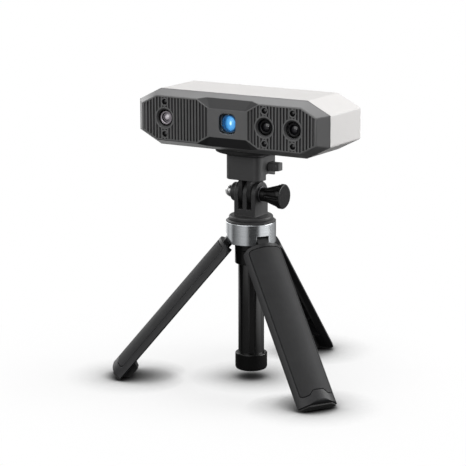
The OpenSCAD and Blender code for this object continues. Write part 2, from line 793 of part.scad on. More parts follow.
// Tilt joint

prong_half_w = 1.5 * prong_t + prong_gap;

module finger_base() color(black) on_column() difference() {
    union() {
        translate([0, 0, flange_z]) rotate_extrude() polygon([[0, 0], [flange_r, 0],
            [flange_r, flange_h - flange_edge], [flange_r - 0.3 * flange_edge, flange_h - 0.3 * flange_edge],
            [flange_r - flange_edge, flange_h], [0, flange_h]]);
        translate([-prong_half_w, -finger_r, flange_z + flange_h / 2])
            cube([2 * prong_half_w, 2 * finger_r, pivot_z - flange_z - flange_h / 2]);
        translate([0, 0, pivot_z]) rod_x(finger_r, -prong_half_w, prong_half_w);
        translate([0, 0, pivot_z]) rod_x(nut_boss_r, -prong_half_w - nut_boss_l, 0);
    }
    for (side = [-1, 1])
        translate([side * (prong_t + prong_gap) / 2 - prong_gap / 2, -finger_r - cut, base_top + prong_foot])
            cube([prong_gap, 2 * finger_r + 2 * cut, 2 * pivot_rise]);
    translate([0, 0, pivot_z]) rod_x(bolt_r + running_fit, -block_w, block_w);
    translate([-prong_half_w - nut_boss_l - cut, 0, pivot_z]) rotate([0, 90, 0])
        cylinder(r = nut_r + running_fit, h = nut_boss_l + cut, $fn = 6);
    translate([0, 0, flange_z - cut]) cylinder(r = tripod_screw_r + running_fit, h = stud_rise + cut);
}

module dome_nut() color(metal) on_column() translate([-prong_half_w - nut_boss_l, 0, pivot_z]) difference() {
    union() {
        rotate([0, 90, 0]) cylinder(r = nut_r, h = nut_boss_l, $fn = 6);
        rod_x(nut_dome_r + 0.2, -nut_reach, cut);
        translate([-nut_reach, 0, 0]) intersection() {
            sphere(r = nut_dome_r);
            translate([cut / 2 - nut_dome_r, 0, 0])
                cube([2 * nut_dome_r + cut, 2 * nut_dome_r, 2 * nut_dome_r], center = true);
        }
    }
    rod_x(bolt_r + running_fit, -0.6, nut_boss_l + cut);
}

washer_r = 5;
washer_t = 0.8;
knob_x = prong_half_w + slide_gap + washer_t;
bolt_grip = 5;

module pivot_bolt() color(metal) on_column() translate([0, 0, pivot_z])
    rod_x(bolt_r, -prong_half_w - nut_boss_l, knob_x + bolt_grip);

module pivot_washer() color(metal) on_column() translate([0, 0, pivot_z]) difference() {
    rod_x(washer_r, prong_half_w + slide_gap, knob_x);
    rod_x(bolt_r + press_gap, 0, block_w);
}

// The neck widens to the rim, with grip flutes along the cone
module thumb_knob() color(black) on_column() translate([knob_x, 0, pivot_z]) rotate([0, 90, 0]) difference() {
    cone_l = knob_l - knob_rim;
    rotate_extrude() polygon([[0, 0], [knob_neck_r, 0], [knob_neck_r, cone_l / 4], [knob_r - 0.6, cone_l],
        [knob_r, cone_l + 0.6], [knob_r, knob_l - 0.8], [knob_r - 0.8, knob_l], [0, knob_l]]);
    for (i = [0 : knob_flutes - 1]) rotate([0, 0, i * 360 / knob_flutes])
        translate([knob_neck_r + flute_r / 3, 0, cone_l / 4])
            rotate([0, atan((knob_r - 0.6 - knob_neck_r) / (cone_l * 3 / 4)), 0])
                cylinder(r = flute_r, h = cone_l);
    translate([0, 0, -cut]) cylinder(r = bolt_r + press_gap, h = bolt_grip + cut);
}

// Tripod head and pole

stud_rise = prong_foot + flange_h - 1;
stud_drop = 9;
stud_low_r = pole_tip_r - 1.3;

module platform_cap() color(black) on_column() translate([0, 0, cap_z]) difference() {
    rotate_extrude() polygon([[0, 0], [ring_r, 0], [ring_r, 0.2], [ring_r - cap_bevel, cap_h], [0, cap_h]]);
    translate([0, 0, -cut]) cylinder(r = tripod_screw_r + running_fit, h = cap_h + 2 * cut);
}

module platform_stud() color(metal) on_column() translate([0, 0, cap_z]) {
    cylinder(r = tripod_screw_r, h = cap_h + stud_rise - part_gap);
    translate([0, 0, -stud_drop]) cylinder(r = stud_low_r, h = stud_drop + cut);
}

pole_bottom = foot_cap_z + foot_cap_floor + 5;

module pole_upper() color(metal) on_column() translate([0, 0, pole_bottom]) difference() {
    cylinder(r = pole_tip_r, h = cap_z - pole_bottom);
    translate([0, 0, -cut]) cylinder(r = stud_low_r + running_fit, h = cap_z - pole_bottom + 2 * cut);
}

module pole_lower() color(black) on_column() translate([0, 0, pole_bottom]) difference() {
    cylinder(r = pole_r, h = ring_top - pole_bottom);
    translate([0, 0, -cut]) cylinder(r = pole_tip_r + slide_gap, h = ring_top - pole_bottom + 2 * cut);
}

hub_r = ring_r - ring_wall - running_fit;
slot_half_w = leg_tongue_w / 2 + part_gap;

module leg_slots(from_r, rise) for (angle = leg_angles) rotate([0, 0, angle])
    translate([from_r, -slot_half_w, ring_z - cut]) cube([ring_r, 2 * slot_half_w, ring_drop + rise + cut]);

module pin_bores(r, half_l) for (angle = leg_angles) rotate([0, 0, angle])
    translate([hinge_r, half_l, hinge_z]) rotate([90, 0, 0]) cylinder(r = r, h = 2 * half_l);

pin_half_l = 7;

module collar_ring() color(metal) on_column() difference() {
    translate([0, 0, ring_z]) cylinder(r = ring_r, h = ring_h);
    translate([0, 0, ring_z - cut]) cylinder(r = ring_r - ring_wall, h = ring_h + 2 * cut);
    leg_slots(hub_r - cut, eye_r + 0.1);
    pin_bores(pin_r + press_gap, pin_half_l + press_gap);
}

module leg_hub() color(black) on_column() difference() {
    translate([0, 0, ring_z]) cylinder(r = hub_r, h = ring_h);
    translate([0, 0, ring_z - cut]) cylinder(r = column_r + running_fit, h = ring_h + 2 * cut);
    leg_slots(hinge_r - eye_r - part_gap, eye_r + part_gap);
    pin_bores(pin_r + press_gap, pin_half_l + press_gap);
}

module leg_pins() color(metal) on_column() pin_bores(pin_r, pin_half_l);

// Column

module column_collar() color(black) on_column() translate([0, 0, ring_z - collar_h]) difference() {
    cylinder(r = collar_r, h = collar_h);
    translate([0, 0, -cut]) cylinder(r = column_r + running_fit, h = collar_h + 2 * cut);
}

module column_tube() color(black) on_column() {
    bottom = foot_cap_z + foot_cap_floor;
    height = ring_top - part_gap - bottom;
    translate([0, 0, bottom]) difference() {
        cylinder(r = column_r, h = height);
        translate([0, 0, -cut]) cylinder(r = pole_r + slide_gap, h = height + 2 * cut);
        for (angle = leg_angles) rotate([0, 0, angle - column_groove_angle])
            translate([column_r - column_groove_d, -column_groove_w / 2, -cut])
                cube([column_r, column_groove_w, height + 2 * cut]);
    }
}

module column_cap() color(black) on_column() translate([0, 0, foot_cap_z]) difference() {
    rotate_extrude() polygon([[0, 0], [foot_cap_r - 1.6, 0], [foot_cap_r - 0.5, 0.5],
        [foot_cap_r, 1.6], [foot_cap_r, foot_cap_h - 0.4], [foot_cap_r - 0.4, foot_cap_h], [0, foot_cap_h]]);
    translate([0, 0, foot_cap_floor]) cylinder(r = column_r + running_fit, h = foot_cap_h);
}

// Legs, drawn hanging straight down from the pin, with the outer face towards +X

module leg_bar(inset, top, bottom) {
    near = leg_inner_w / 2 - inset;
    far = near + flank * leg_t;
    intersection() {
        translate([0, 0, -bottom]) linear_extrude(bottom - top)
            polygon([[-leg_t / 2, near], [-leg_t / 2, -near], [leg_t / 2, -far], [leg_t / 2, far]]);
        translate([crown_x, 0, -bottom]) cylinder(r = leg_r - inset, h = bottom - top, $fn = 200);
    }
}

function corner_arc(y, z, r, start) = [for (i = [0 : corner_steps])
    let (angle = start + 90 * i / corner_steps) [y + r * cos(angle), z + r * sin(angle)]];

// Outline of the cover seen from outside, with the arch in its lower edge
function cover_outline(grow) =
    let (r = cover_corner + grow, side = cover_w / 2 - cover_corner, slope = (sqrt(2) - 1) * grow)
    let (low = -cover_bottom - grow, level = arch_half_w - slope, mouth = level + arch_rise)
    concat(corner_arc(side, cover_corner - cover_bottom, r, -90),
        corner_arc(side, -cover_top - cover_corner, r, 0),
        corner_arc(-side, -cover_top - cover_corner, r, 90),
        corner_arc(-side, cover_corner - cover_bottom, r, 180),
        [[-mouth, low], [-level, low + arch_rise], [level, low + arch_rise], [mouth, low]]);

module cover_space(grow) difference() {
    intersection() {
        translate([crown_x, 0, -leg_len]) cylinder(r = leg_r + grow, h = leg_len, $fn = 200);
        translate([-leg_t / 2, 0, 0]) rotate([90, 0, 90]) linear_extrude(2 * leg_t)
            polygon(cover_outline(grow));
    }
    translate([crown_x, 0, -leg_len - cut]) cylinder(r = leg_r - cover_t, h = leg_len + 2 * cut, $fn = 200);
}

module truss() intersection() {
    union() {
        bay = (channel_end - truss_top) / truss_bays;
        lean = atan(2 * channel_half_w / bay);
        for (i = [0 : truss_bays - 1], side = [-1, 1])
            translate([0, 0, -truss_top - (i + 0.5) * bay]) rotate([side * lean, 0, 0])
                cube([2 * leg_t, truss_t, 2 * bay], center = true);
    }
    translate([truss_x, -leg_w / 2, -channel_end]) cube([leg_t, leg_w, channel_end - truss_top]);
    translate([crown_x, 0, -leg_len])
        cylinder(r = leg_r - cover_t - leg_skin / 2, h = leg_len, $fn = 200);
    translate([-leg_t, -channel_half_w - leg_wall / 2, -leg_len])
        cube([2 * leg_t, 2 * channel_half_w + leg_wall, leg_len]);
}

module leg_shell() color(black) difference() {
    union() {
        difference() {
            leg_bar(0, 0, shell_len);
            translate([0, leg_w, 0]) rotate([90, 0, 0]) cylinder(r = leg_shoulder, h = 2 * leg_w);
            translate([-leg_t, -leg_w, -ring_drop - part_gap]) cube([leg_t, 2 * leg_w, leg_t]);
            translate([-leg_t, -channel_half_w, -channel_end])
                cube([leg_t + channel_x, 2 * channel_half_w, channel_end]);
            intersection() {
                translate([-leg_t, -channel_half_w, -channel_end])
                    cube([2 * leg_t, 2 * channel_half_w, channel_end - truss_top]);
                translate([crown_x, 0, -leg_len])
                    cylinder(r = leg_r - cover_t - leg_skin, h = leg_len, $fn = 200);
            }
            for (side = [-1, 1]) translate([0, side * (leg_w / 2 - shoulder_r), -leg_shoulder - shoulder_r])
                shoulder_cut(side);
            toe_cut();
        }
        truss();
        translate([0, leg_tongue_w / 2, 0]) rotate([90, 0, 0]) cylinder(r = eye_r, h = leg_tongue_w);
        translate([channel_x, -leg_tongue_w / 2, -leg_shoulder - cut])
            cube([eye_r - channel_x, leg_tongue_w, leg_shoulder + cut]);
    }
    cover_space(seam);
    translate([0, leg_w / 2, 0]) rotate([90, 0, 0]) cylinder(r = pin_r + running_fit, h = leg_w);
}

module shoulder_cut(side) difference() {
    translate([-leg_t, side > 0 ? 0 : -shoulder_r - cut, 0])
        cube([2 * leg_t, shoulder_r + cut, shoulder_r + cut]);
    rod_x(shoulder_r, -leg_t - cut, leg_t + cut);
}

module toe_cut() translate([leg_t / 2 - toe_r, 0, toe_r - shell_len]) difference() {
    translate([0, -leg_w, -toe_r - cut]) cube([toe_r + cut, 2 * leg_w, toe_r + cut]);
    translate([0, leg_w + cut, 0]) rotate([90, 0, 0]) cylinder(r = toe_r, h = 2 * leg_w + 2 * cut);
}

module leg_cover() color(black) cover_space(0);

sole_inset = 0.9;

// Rubber sole with a heel that is cut level with the floor
module leg_foot() color(rubber) intersection() {
    union() {
        intersection() {
            leg_bar(sole_inset, shell_len, leg_len);
            translate([-leg_t / 2, -leg_w, -leg_len]) cube([leg_t - toe_r, 2 * leg_w, sole_t]);
        }
        translate([-leg_t / 2, heel_half_w, -leg_len]) rotate([90, 0, 0]) linear_extrude(2 * heel_half_w)
            polygon([[0, 0], [0, heel_l], [-heel_d, heel_l - heel_d / 2], [-heel_d, 0]]);
    }
    rotate([0, leg_spread, 0]) translate([-leg_len, -leg_w, -hinge_z])
        cube([2 * leg_len, 2 * leg_w, leg_len]);
}

rear_housing();
front_frame();
optical_bench();
bench_screws();
camera_barrels();
left_lens();
right_lenses();
camera_boards();
light_windows();
light_boards();
projector_window();
projector_barrel();
projector_lens();
projector_engine();
heat_sink();
main_board();
board_chips();
board_screws();
usb_socket();
scan_button();
button_switch();
status_light();
thread_insert();
base_pad();
quick_release_plate();
plate_screw();
adapter_block();
release_tab();
release_spring();
finger_base();
dome_nut();
pivot_bolt();
pivot_washer();
thumb_knob();
platform_cap();
platform_stud();
pole_upper();
pole_lower();
collar_ring();
leg_hub();
leg_pins();
column_collar();
column_tube();
column_cap();
at_leg(leg_rear) leg_shell();  // leg_rear_shell
at_leg(leg_left) leg_shell();  // leg_left_shell
at_leg(leg_right) leg_shell();  // leg_right_shell
at_leg(leg_rear) leg_cover();  // leg_rear_cover
at_leg(leg_left) leg_cover();  // leg_left_cover
at_leg(leg_right) leg_cover();  // leg_right_cover
at_leg(leg_rear) leg_foot();  // leg_rear_foot
at_leg(leg_left) leg_foot();  // leg_left_foot
at_leg(leg_right) leg_foot();  // leg_right_foot
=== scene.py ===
import json
import math

import bmesh
import bpy
from mathutils import Matrix, Vector


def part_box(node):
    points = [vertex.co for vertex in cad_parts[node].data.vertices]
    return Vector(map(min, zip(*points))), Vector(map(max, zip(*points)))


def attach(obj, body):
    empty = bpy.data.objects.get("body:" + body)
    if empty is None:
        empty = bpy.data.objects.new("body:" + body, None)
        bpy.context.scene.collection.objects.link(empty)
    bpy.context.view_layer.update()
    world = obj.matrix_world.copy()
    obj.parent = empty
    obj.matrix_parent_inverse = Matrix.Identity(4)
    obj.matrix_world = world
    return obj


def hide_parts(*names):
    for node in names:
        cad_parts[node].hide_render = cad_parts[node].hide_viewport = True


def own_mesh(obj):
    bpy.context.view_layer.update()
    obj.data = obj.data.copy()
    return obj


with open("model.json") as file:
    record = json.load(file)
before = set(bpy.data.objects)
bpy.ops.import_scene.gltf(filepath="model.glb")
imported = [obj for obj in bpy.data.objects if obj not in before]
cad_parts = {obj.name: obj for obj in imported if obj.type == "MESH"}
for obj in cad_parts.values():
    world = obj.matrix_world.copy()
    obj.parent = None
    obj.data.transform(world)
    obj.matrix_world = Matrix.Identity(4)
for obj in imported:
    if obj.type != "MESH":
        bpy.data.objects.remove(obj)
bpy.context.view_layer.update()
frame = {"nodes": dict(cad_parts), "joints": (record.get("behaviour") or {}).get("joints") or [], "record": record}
nodes = frame["nodes"]
scene = bpy.context.scene
MM = 0.001
BODY_OF = {}
for body, members in frame["record"]["behaviour"]["bodies"].items():
    for member in members:
        BODY_OF[member] = body


def middle(node):
    """Centre of a node's box."""
    low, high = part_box(node)
    return (low + high) / 2


# Camera at the photograph's angle, fitted to the head, the ring and the legs
COLUMN_Y = middle("platform_cap").y
YAW = math.radians(31.785)
PITCH = math.radians(12.265)
ROLL = math.radians(-0.197)
DISTANCE = 1.255532
LOOK_SIDEWAYS = -0.010772
LOOK_HEIGHT = 0.088881
FOCAL_PX = 2101.72
PICTURE_PX = 466
SENSOR_W = 36.0
NEAREST = 0.05
FARTHEST = 20.0

back = Vector((math.sin(YAW) * math.cos(PITCH), -math.cos(YAW) * math.cos(PITCH), math.sin(PITCH)))
right = Vector((math.cos(YAW), math.sin(YAW), 0.0))
up = back.cross(right)
look = right * LOOK_SIDEWAYS + Vector((0.0, COLUMN_Y, LOOK_HEIGHT))
rolled_right = right * math.cos(ROLL) + up * math.sin(ROLL)
rolled_up = up * math.cos(ROLL) - right * math.sin(ROLL)
camera_data = bpy.data.cameras.new("camera")
camera_data.sensor_width = SENSOR_W
camera_data.lens = FOCAL_PX / PICTURE_PX * SENSOR_W
camera_data.clip_start = NEAREST
camera_data.clip_end = FARTHEST
camera = bpy.data.objects.new("camera", camera_data)
turn = Matrix((rolled_right, rolled_up, back)).transposed().to_4x4()
camera.matrix_world = Matrix.Translation(look + back * DISTANCE) @ turn
scene.collection.objects.link(camera)
scene.camera = camera
scene.view_settings.view_transform = "Standard"

# Surface detail: scales per metre, depths in metres, ends of the ramp between two tones
CLOUD_SCALE = 90.0
TURNING_SCALE = 5200.0
BRUSHING_SCALE = 2600.0
POLISH_SCALE = 1500.0
DUST_SCALE = 1400.0
GLOW_SCALE = 1200.0
MASK_SCALE = 900.0
TRACK_SCALE = 420.0
PAPER_SCALE = 500.0
GRAIN_DEPTH = 0.00004
LINE_DEPTH = 0.00003
POLISH_DEPTH = 0.00001
POLISH_STRENGTH = 0.02
DARK_END = 0.3
LIGHT_END = 0.7
GLOSS_SWING = 0.06
TURNED_SWING = 0.07
BRUSHED_CONTRAST = 0.14
# Share of a colour left at the dark end of painted shade
SHADE_LEAST = 0.2


# Shader helpers
def new_material(name):
    """New material with its node tree and its main shader."""
    material = bpy.data.materials.new(name)
    material.use_nodes = True
    tree = material.node_tree
    return material, tree, tree.nodes["Principled BSDF"]


def add(tree, kind, **values):
    """Adds a node and sets its options."""
    node = tree.nodes.new(kind)
    for key, value in values.items():
        setattr(node, key, value)
    return node


def object_place(tree):
    """Place on the object in metres."""
    return add(tree, "ShaderNodeTexCoord").outputs["Object"]


def math_node(tree, operation, first, second):
    """Result of an operation on two numbers, each a socket or a constant."""
    node = add(tree, "ShaderNodeMath", operation=operation)
    for socket, value in zip(node.inputs, (first, second)):
        if isinstance(value, (int, float)):
            socket.default_value = value
        else:
            tree.links.new(value, socket)
    return node.outputs["Value"]


def shifted(tree, vector, centre):
    """Vector measured from a centre."""
    node = add(tree, "ShaderNodeVectorMath", operation="SUBTRACT")
    node.inputs[1].default_value = centre
    tree.links.new(vector, node.inputs[0])
    return node.outputs["Vector"]


def stretched(tree, vector, factors):
    """Vector with each axis times its own factor."""
    node = add(tree, "ShaderNodeVectorMath", operation="MULTIPLY")
    node.inputs[1].default_value = factors
    tree.links.new(vector, node.inputs[0])
    return node.outputs["Vector"]


def scaled(tree, vector, factor):
    """Vector or colour times a socket's value."""
    node = add(tree, "ShaderNodeVectorMath", operation="SCALE")
    tree.links.new(vector, node.inputs[0])
    tree.links.new(factor, node.inputs["Scale"])
    return node.outputs["Vector"]


def length_of(tree, vector):
    """Length of a vector."""
    node = add(tree, "ShaderNodeVectorMath", operation="LENGTH")
    tree.links.new(vector, node.inputs[0])
    return node.outputs["Value"]


def axes_of(tree, vector):
    """X, Y and Z of a vector, by name."""
    node = add(tree, "ShaderNodeSeparateXYZ")
    tree.links.new(vector, node.inputs["Vector"])
    return node.outputs


def noise(tree, vector, scale, detail=3.0, roughness=0.5):
    """Cloudy value from 0 to 1."""
    node = add(tree, "ShaderNodeTexNoise")
    node.inputs["Scale"].default_value = scale
    node.inputs["Detail"].default_value = detail
    node.inputs["Roughness"].default_value = roughness
    tree.links.new(vector, node.inputs["Vector"])
    return node.outputs["Fac"]


def stops(tree, value, points):
    """Colour ramp through (position, colour) points."""
    node = add(tree, "ShaderNodeValToRGB")
    elements = node.color_ramp.elements
    while len(elements) < len(points):
        elements.new(0.5)
    for element, (position, colour) in zip(elements, points):
        element.position = position
        element.color = (*colour, 1.0)
    tree.links.new(value, node.inputs["Fac"])
    return node.outputs["Color"]


def two_tone(tree, value, colour, share):
    """A colour that varies by a share of itself, darker and lighter."""
    dark = tuple(c * (1 - share) for c in colour)
    light = tuple(min(1.0, c * (1 + share)) for c in colour)
    return stops(tree, value, [(DARK_END, dark), (LIGHT_END, light)])


def spread(tree, value, low, high, start=0.0, end=1.0):
    """Value from low to high while the input goes from start to end."""
    node = add(tree, "ShaderNodeMapRange")
    node.inputs["From Min"].default_value = start
    node.inputs["From Max"].default_value = end
    node.inputs["To Min"].default_value = low
    node.inputs["To Max"].default_value = high
    tree.links.new(value, node.inputs["Value"])
    return node.outputs["Result"]


def uneven_gloss(tree, shader, value, low, high):
    """Roughness between two values."""
    tree.links.new(spread(tree, value, low, high), shader.inputs["Roughness"])


def bump(tree, shader, height, strength, distance):
    """Fine relief on a shader."""
    node = add(tree, "ShaderNodeBump")
    node.inputs["Strength"].default_value = strength
    node.inputs["Distance"].default_value = distance
    tree.links.new(height, node.inputs["Height"])
    tree.links.new(node.outputs["Normal"], shader.inputs["Normal"])


def blended(tree, share, first, second):
    """Blend of two shaders: share 0 gives the first, 1 the second."""
    node = add(tree, "ShaderNodeMixShader")
    tree.links.new(share, node.inputs["Fac"])
    tree.links.new(first, node.inputs[1])
    tree.links.new(second, node.inputs[2])
    return node.outputs["Shader"]


# Materials
def painted_shade_below(tree, colour, low, high):
    """Painted shade: colour darkened to a fifth at the lower height, full at the upper one."""
    height = axes_of(tree, object_place(tree))["Z"]
    return scaled(tree, colour, spread(tree, height, SHADE_LEAST, 1.0, low, high))


def moulded(name, colour, rough, grain=2600.0, strength=0.3, mottle=0.10, level=0.3, shade_heights=None):
    """Moulded plastic or rubber: fine spark grain, faint mottling and uneven gloss; given shade heights, painted
    shade darkens it towards the lower one.
    """
    material, tree, shader = new_material(name)
    place = object_place(tree)
    tint = two_tone(tree, noise(tree, place, CLOUD_SCALE, detail=4.0, roughness=0.6), colour, mottle)
    # Painted shade towards the bottom, where shade heights are given
    if shade_heights:
        tint = painted_shade_below(tree, tint, *shade_heights)
    tree.links.new(tint, shader.inputs["Base Color"])
    fine = noise(tree, place, grain, detail=2.0, roughness=0.55)
    uneven_gloss(tree, shader, fine, rough - GLOSS_SWING, rough + GLOSS_SWING)
    bump(tree, shader, fine, strength, GRAIN_DEPTH)
    shader.inputs["Specular IOR Level"].default_value = level
    return material


OTHER_AXES = {"X": ("Y", "Z"), "Y": ("X", "Z"), "Z": ("X", "Y")}
TURN_STRETCH = 0.0006


def turned_metal(name, colour, rough, centre, along, strength=0.2, contrast=0.1):
    """Metal with fine turning lines round an axis through centre."""
    material, tree, shader = new_material(name)
    place = axes_of(tree, shifted(tree, object_place(tree), centre))
    first, second = OTHER_AXES[along]
    angle = math_node(tree, "ARCTAN2", place[first], place[second])
    flat = add(tree, "ShaderNodeCombineXYZ")
    tree.links.new(place[first], flat.inputs["X"])
    tree.links.new(place[second], flat.inputs["Y"])
    lathe_place = add(tree, "ShaderNodeCombineXYZ")
    tree.links.new(math_node(tree, "MULTIPLY", angle, TURN_STRETCH), lathe_place.inputs["X"])
    tree.links.new(place[along], lathe_place.inputs["Y"])
    tree.links.new(length_of(tree, flat.outputs["Vector"]), lathe_place.inputs["Z"])
    fine = noise(tree, lathe_place.outputs["Vector"], TURNING_SCALE, detail=2.0, roughness=0.6)
    tree.links.new(two_tone(tree, fine, colour, contrast), shader.inputs["Base Color"])
    uneven_gloss(tree, shader, fine, rough - TURNED_SWING, rough + TURNED_SWING)
    bump(tree, shader, fine, strength, LINE_DEPTH)
    shader.inputs["Metallic"].default_value = 1.0
    return material


def brushed_metal(name, colour, rough, factors, strength=0.15, metallic=1.0, level=0.5):
    """Metal, bare or anodised, with fine straight lines along the axis whose factor is small."""
    material, tree, shader = new_material(name)
    place = stretched(tree, object_place(tree), factors)
    fine = noise(tree, place, BRUSHING_SCALE, roughness=0.6)
    tree.links.new(two_tone(tree, fine, colour, BRUSHED_CONTRAST), shader.inputs["Base Color"])
    uneven_gloss(tree, shader, fine, rough - GLOSS_SWING, rough + GLOSS_SWING)
    bump(tree, shader, fine, strength, LINE_DEPTH)
    shader.inputs["Metallic"].default_value = metallic
    shader.inputs["Specular IOR Level"].default_value = level
    return material


def circuit_board(name, mask, track):
    """Board with copper tracks under the solder mask."""
    material, tree, shader = new_material(name)
    place = object_place(tree)
    cells = add(tree, "ShaderNodeTexVoronoi", distance="MANHATTAN", feature="F1")
    cells.inputs["Scale"].default_value = TRACK_SCALE
    tree.links.new(place, cells.inputs["Vector"])
    tracks = stops(tree, cells.outputs["Distance"], [(0.25, mask), (0.32, track)])
    tree.links.new(tracks, shader.inputs["Base Color"])
    bump(tree, shader, cells.outputs["Distance"], 0.2, LINE_DEPTH)
    uneven_gloss(tree, shader, noise(tree, place, MASK_SCALE), 0.28, 0.42)
    return material


def reach_from(tree, place, centre, radius, tall=1.0):
    """Distance from an axis along Y as a share of the radius; a tall axis gives an upright oval."""
    flat = stretched(tree, shifted(tree, place, centre), (1.0, 0.0, 1.0 / tall))
    return math_node(tree, "DIVIDE", length_of(tree, flat), radius)


def lens_glass(name, points, centres, radius, coat):
    """Coated lens: rings of colour from the middle out, seen through a clear glossy skin."""
    material, tree, shader = new_material(name)
    place = object_place(tree)
    nearest = reach_from(tree, place, centres[0], radius)
    for centre in centres[1:]:
        nearest = math_node(tree, "MINIMUM", nearest, reach_from(tree, place, centre, radius))
    tree.links.new(stops(tree, nearest, points), shader.inputs["Base Color"])
    fine = noise(tree, place, POLISH_SCALE, detail=2.0)
    uneven_gloss(tree, shader, fine, 0.03, 0.07)
    bump(tree, shader, fine, POLISH_STRENGTH, POLISH_DEPTH)
    shader.inputs["Specular IOR Level"].default_value = 0.5
    shader.inputs["Coat Weight"].default_value = coat
    shader.inputs["Coat Roughness"].default_value = 0.02
    return material


BALL_EDGE = (0.9, 1.05)


def ball_lens_painted_reflection(name, centre, radius, mount_points, ball_centre, ball_radius, reflection_points):
    """Lens with a pale mount ring and an inner element to one side of a dark gap, painted near white as its
    reflection and glint.
    """
    material, tree, shader = new_material(name)
    place = object_place(tree)
    mount = stops(tree, reach_from(tree, place, centre, radius), mount_points)
    reach = reach_from(tree, place, ball_centre, ball_radius)
    ball_reflection = stops(tree, reach, reflection_points)
    join = add(tree, "ShaderNodeMix", data_type="RGBA")
    tree.links.new(spread(tree, reach, 1.0, 0.0, *BALL_EDGE), join.inputs["Factor"])
    colours = [socket for socket in join.inputs if socket.type == "RGBA"]
    tree.links.new(mount, colours[0])
    tree.links.new(ball_reflection, colours[1])
    joined = [socket for socket in join.outputs if socket.type == "RGBA"]
    tree.links.new(joined[0], shader.inputs["Base Color"])
    fine = noise(tree, place, POLISH_SCALE, detail=2.0)
    uneven_gloss(tree, shader, fine, 0.08, 0.14)
    bump(tree, shader, fine, POLISH_STRENGTH, POLISH_DEPTH)
    shader.inputs["Coat Weight"].default_value = 1.0
    shader.inputs["Coat Roughness"].default_value = 0.03
    return material


def lit_lens(name, centre, radius, points, strength, tall=1.0):
    """Glowing lens: bright in the middle, deeper colour towards the rim."""
    material, tree, shader = new_material(name)
    place = object_place(tree)
    glow = stops(tree, reach_from(tree, place, centre, radius, tall), points)
    tree.links.new(glow, shader.inputs["Base Color"])
    tree.links.new(glow, shader.inputs["Emission Color"])
    uneven_gloss(tree, shader, noise(tree, place, GLOW_SCALE), 0.1, 0.2)
    shader.inputs["Emission Strength"].default_value = strength
    return material


def clear_pane(name, colour):
    """Thin coated window with faint dust in its gloss."""
    material, tree, shader = new_material(name)
    fine = noise(tree, object_place(tree), DUST_SCALE)
    uneven_gloss(tree, shader, fine, 0.02, 0.08)
    tree.links.new(two_tone(tree, fine, colour, 0.03), shader.inputs["Base Color"])
    shader.inputs["Transmission Weight"].default_value = 1.0
    shader.inputs["IOR"].default_value = 1.2
    return material


# Plastics and rubbers
PIVOT = middle("pivot_bolt")
# The adapter's fingers get painted shade in the base's slots: darkest at the lower height, none above the upper
FINGER_SHADE_LOW = PIVOT.z + 3.0 * MM
FINGER_SHADE_HIGH = PIVOT.z + 6.0 * MM
WHITE = moulded("white_plastic", (0.69, 0.677, 0.668), rough=0.52, grain=2400.0, strength=0.2,
    mottle=0.012, level=0.15)
GREY = moulded("grey_plastic", (0.136, 0.136, 0.137), rough=0.34, grain=2400.0, mottle=0.05, level=0.6)
# Painted shade: a darker copy of the frame's grey for the groove floors and the recessed lens cones
GROOVE_SHADE_GREY = moulded("groove_painted_shade_plastic", (0.058, 0.058, 0.059), rough=0.50, grain=2400.0, mottle=0.05)
# Painted shade: darker copies of the frame's grey for the valleys above and below the projector, the lower one
# darkest
VALLEY_SHADE_GREY = moulded("valley_painted_shade_plastic", (0.036, 0.036, 0.037), rough=0.36, grain=2400.0, strength=0.15,
    mottle=0.05, level=0.4)
VALLEY_DEEP_SHADE = moulded("valley_painted_deep_shade_plastic", (0.018, 0.018, 0.019), rough=0.36, grain=2400.0, strength=0.15,
    mottle=0.05)
BLACK = moulded("black_plastic", (0.042, 0.042, 0.043), rough=0.42)
ADAPTER_BLACK = moulded("adapter_plastic", (0.064, 0.064, 0.065), rough=0.42, mottle=0.08, level=0.35)
FINGER_SHADED_BLACK = moulded("finger_plastic_painted_shade", (0.042, 0.042, 0.043), rough=0.42,
    shade_heights=(FINGER_SHADE_LOW, FINGER_SHADE_HIGH))
DEEP_BLACK = moulded("barrel_black", (0.008, 0.008, 0.009), rough=0.36, strength=0.2)
TAB_GREY = moulded("tab_plastic", (0.070, 0.070, 0.071), rough=0.50, grain=1400.0, strength=0.9,
    mottle=0.25, level=0.4)
GLOSS_BLACK = moulded("gloss_black_plastic", (0.007, 0.007, 0.007), rough=0.24, strength=0.15, level=0.2)
LEG_BLACK = moulded("leg_plastic", (0.014, 0.014, 0.015), rough=0.42, grain=2200.0, strength=0.35)
COVER_BLACK = moulded("leg_cover_plastic", (0.045, 0.045, 0.046), rough=0.55, grain=3000.0, strength=0.35,
    mottle=0.08, level=0.08)
RUBBER = moulded("rubber", (0.012, 0.012, 0.012), rough=0.72, grain=1800.0, strength=0.5, mottle=0.12)
FOOT_RUBBER = moulded("foot_rubber", (0.048, 0.048, 0.048), rough=0.70, grain=1800.0, strength=0.5,
    mottle=0.12)
LIGHT_GLASS = moulded("light_glass", (0.002, 0.002, 0.003), rough=0.10, grain=2000.0, strength=0.02,
    level=0.35)

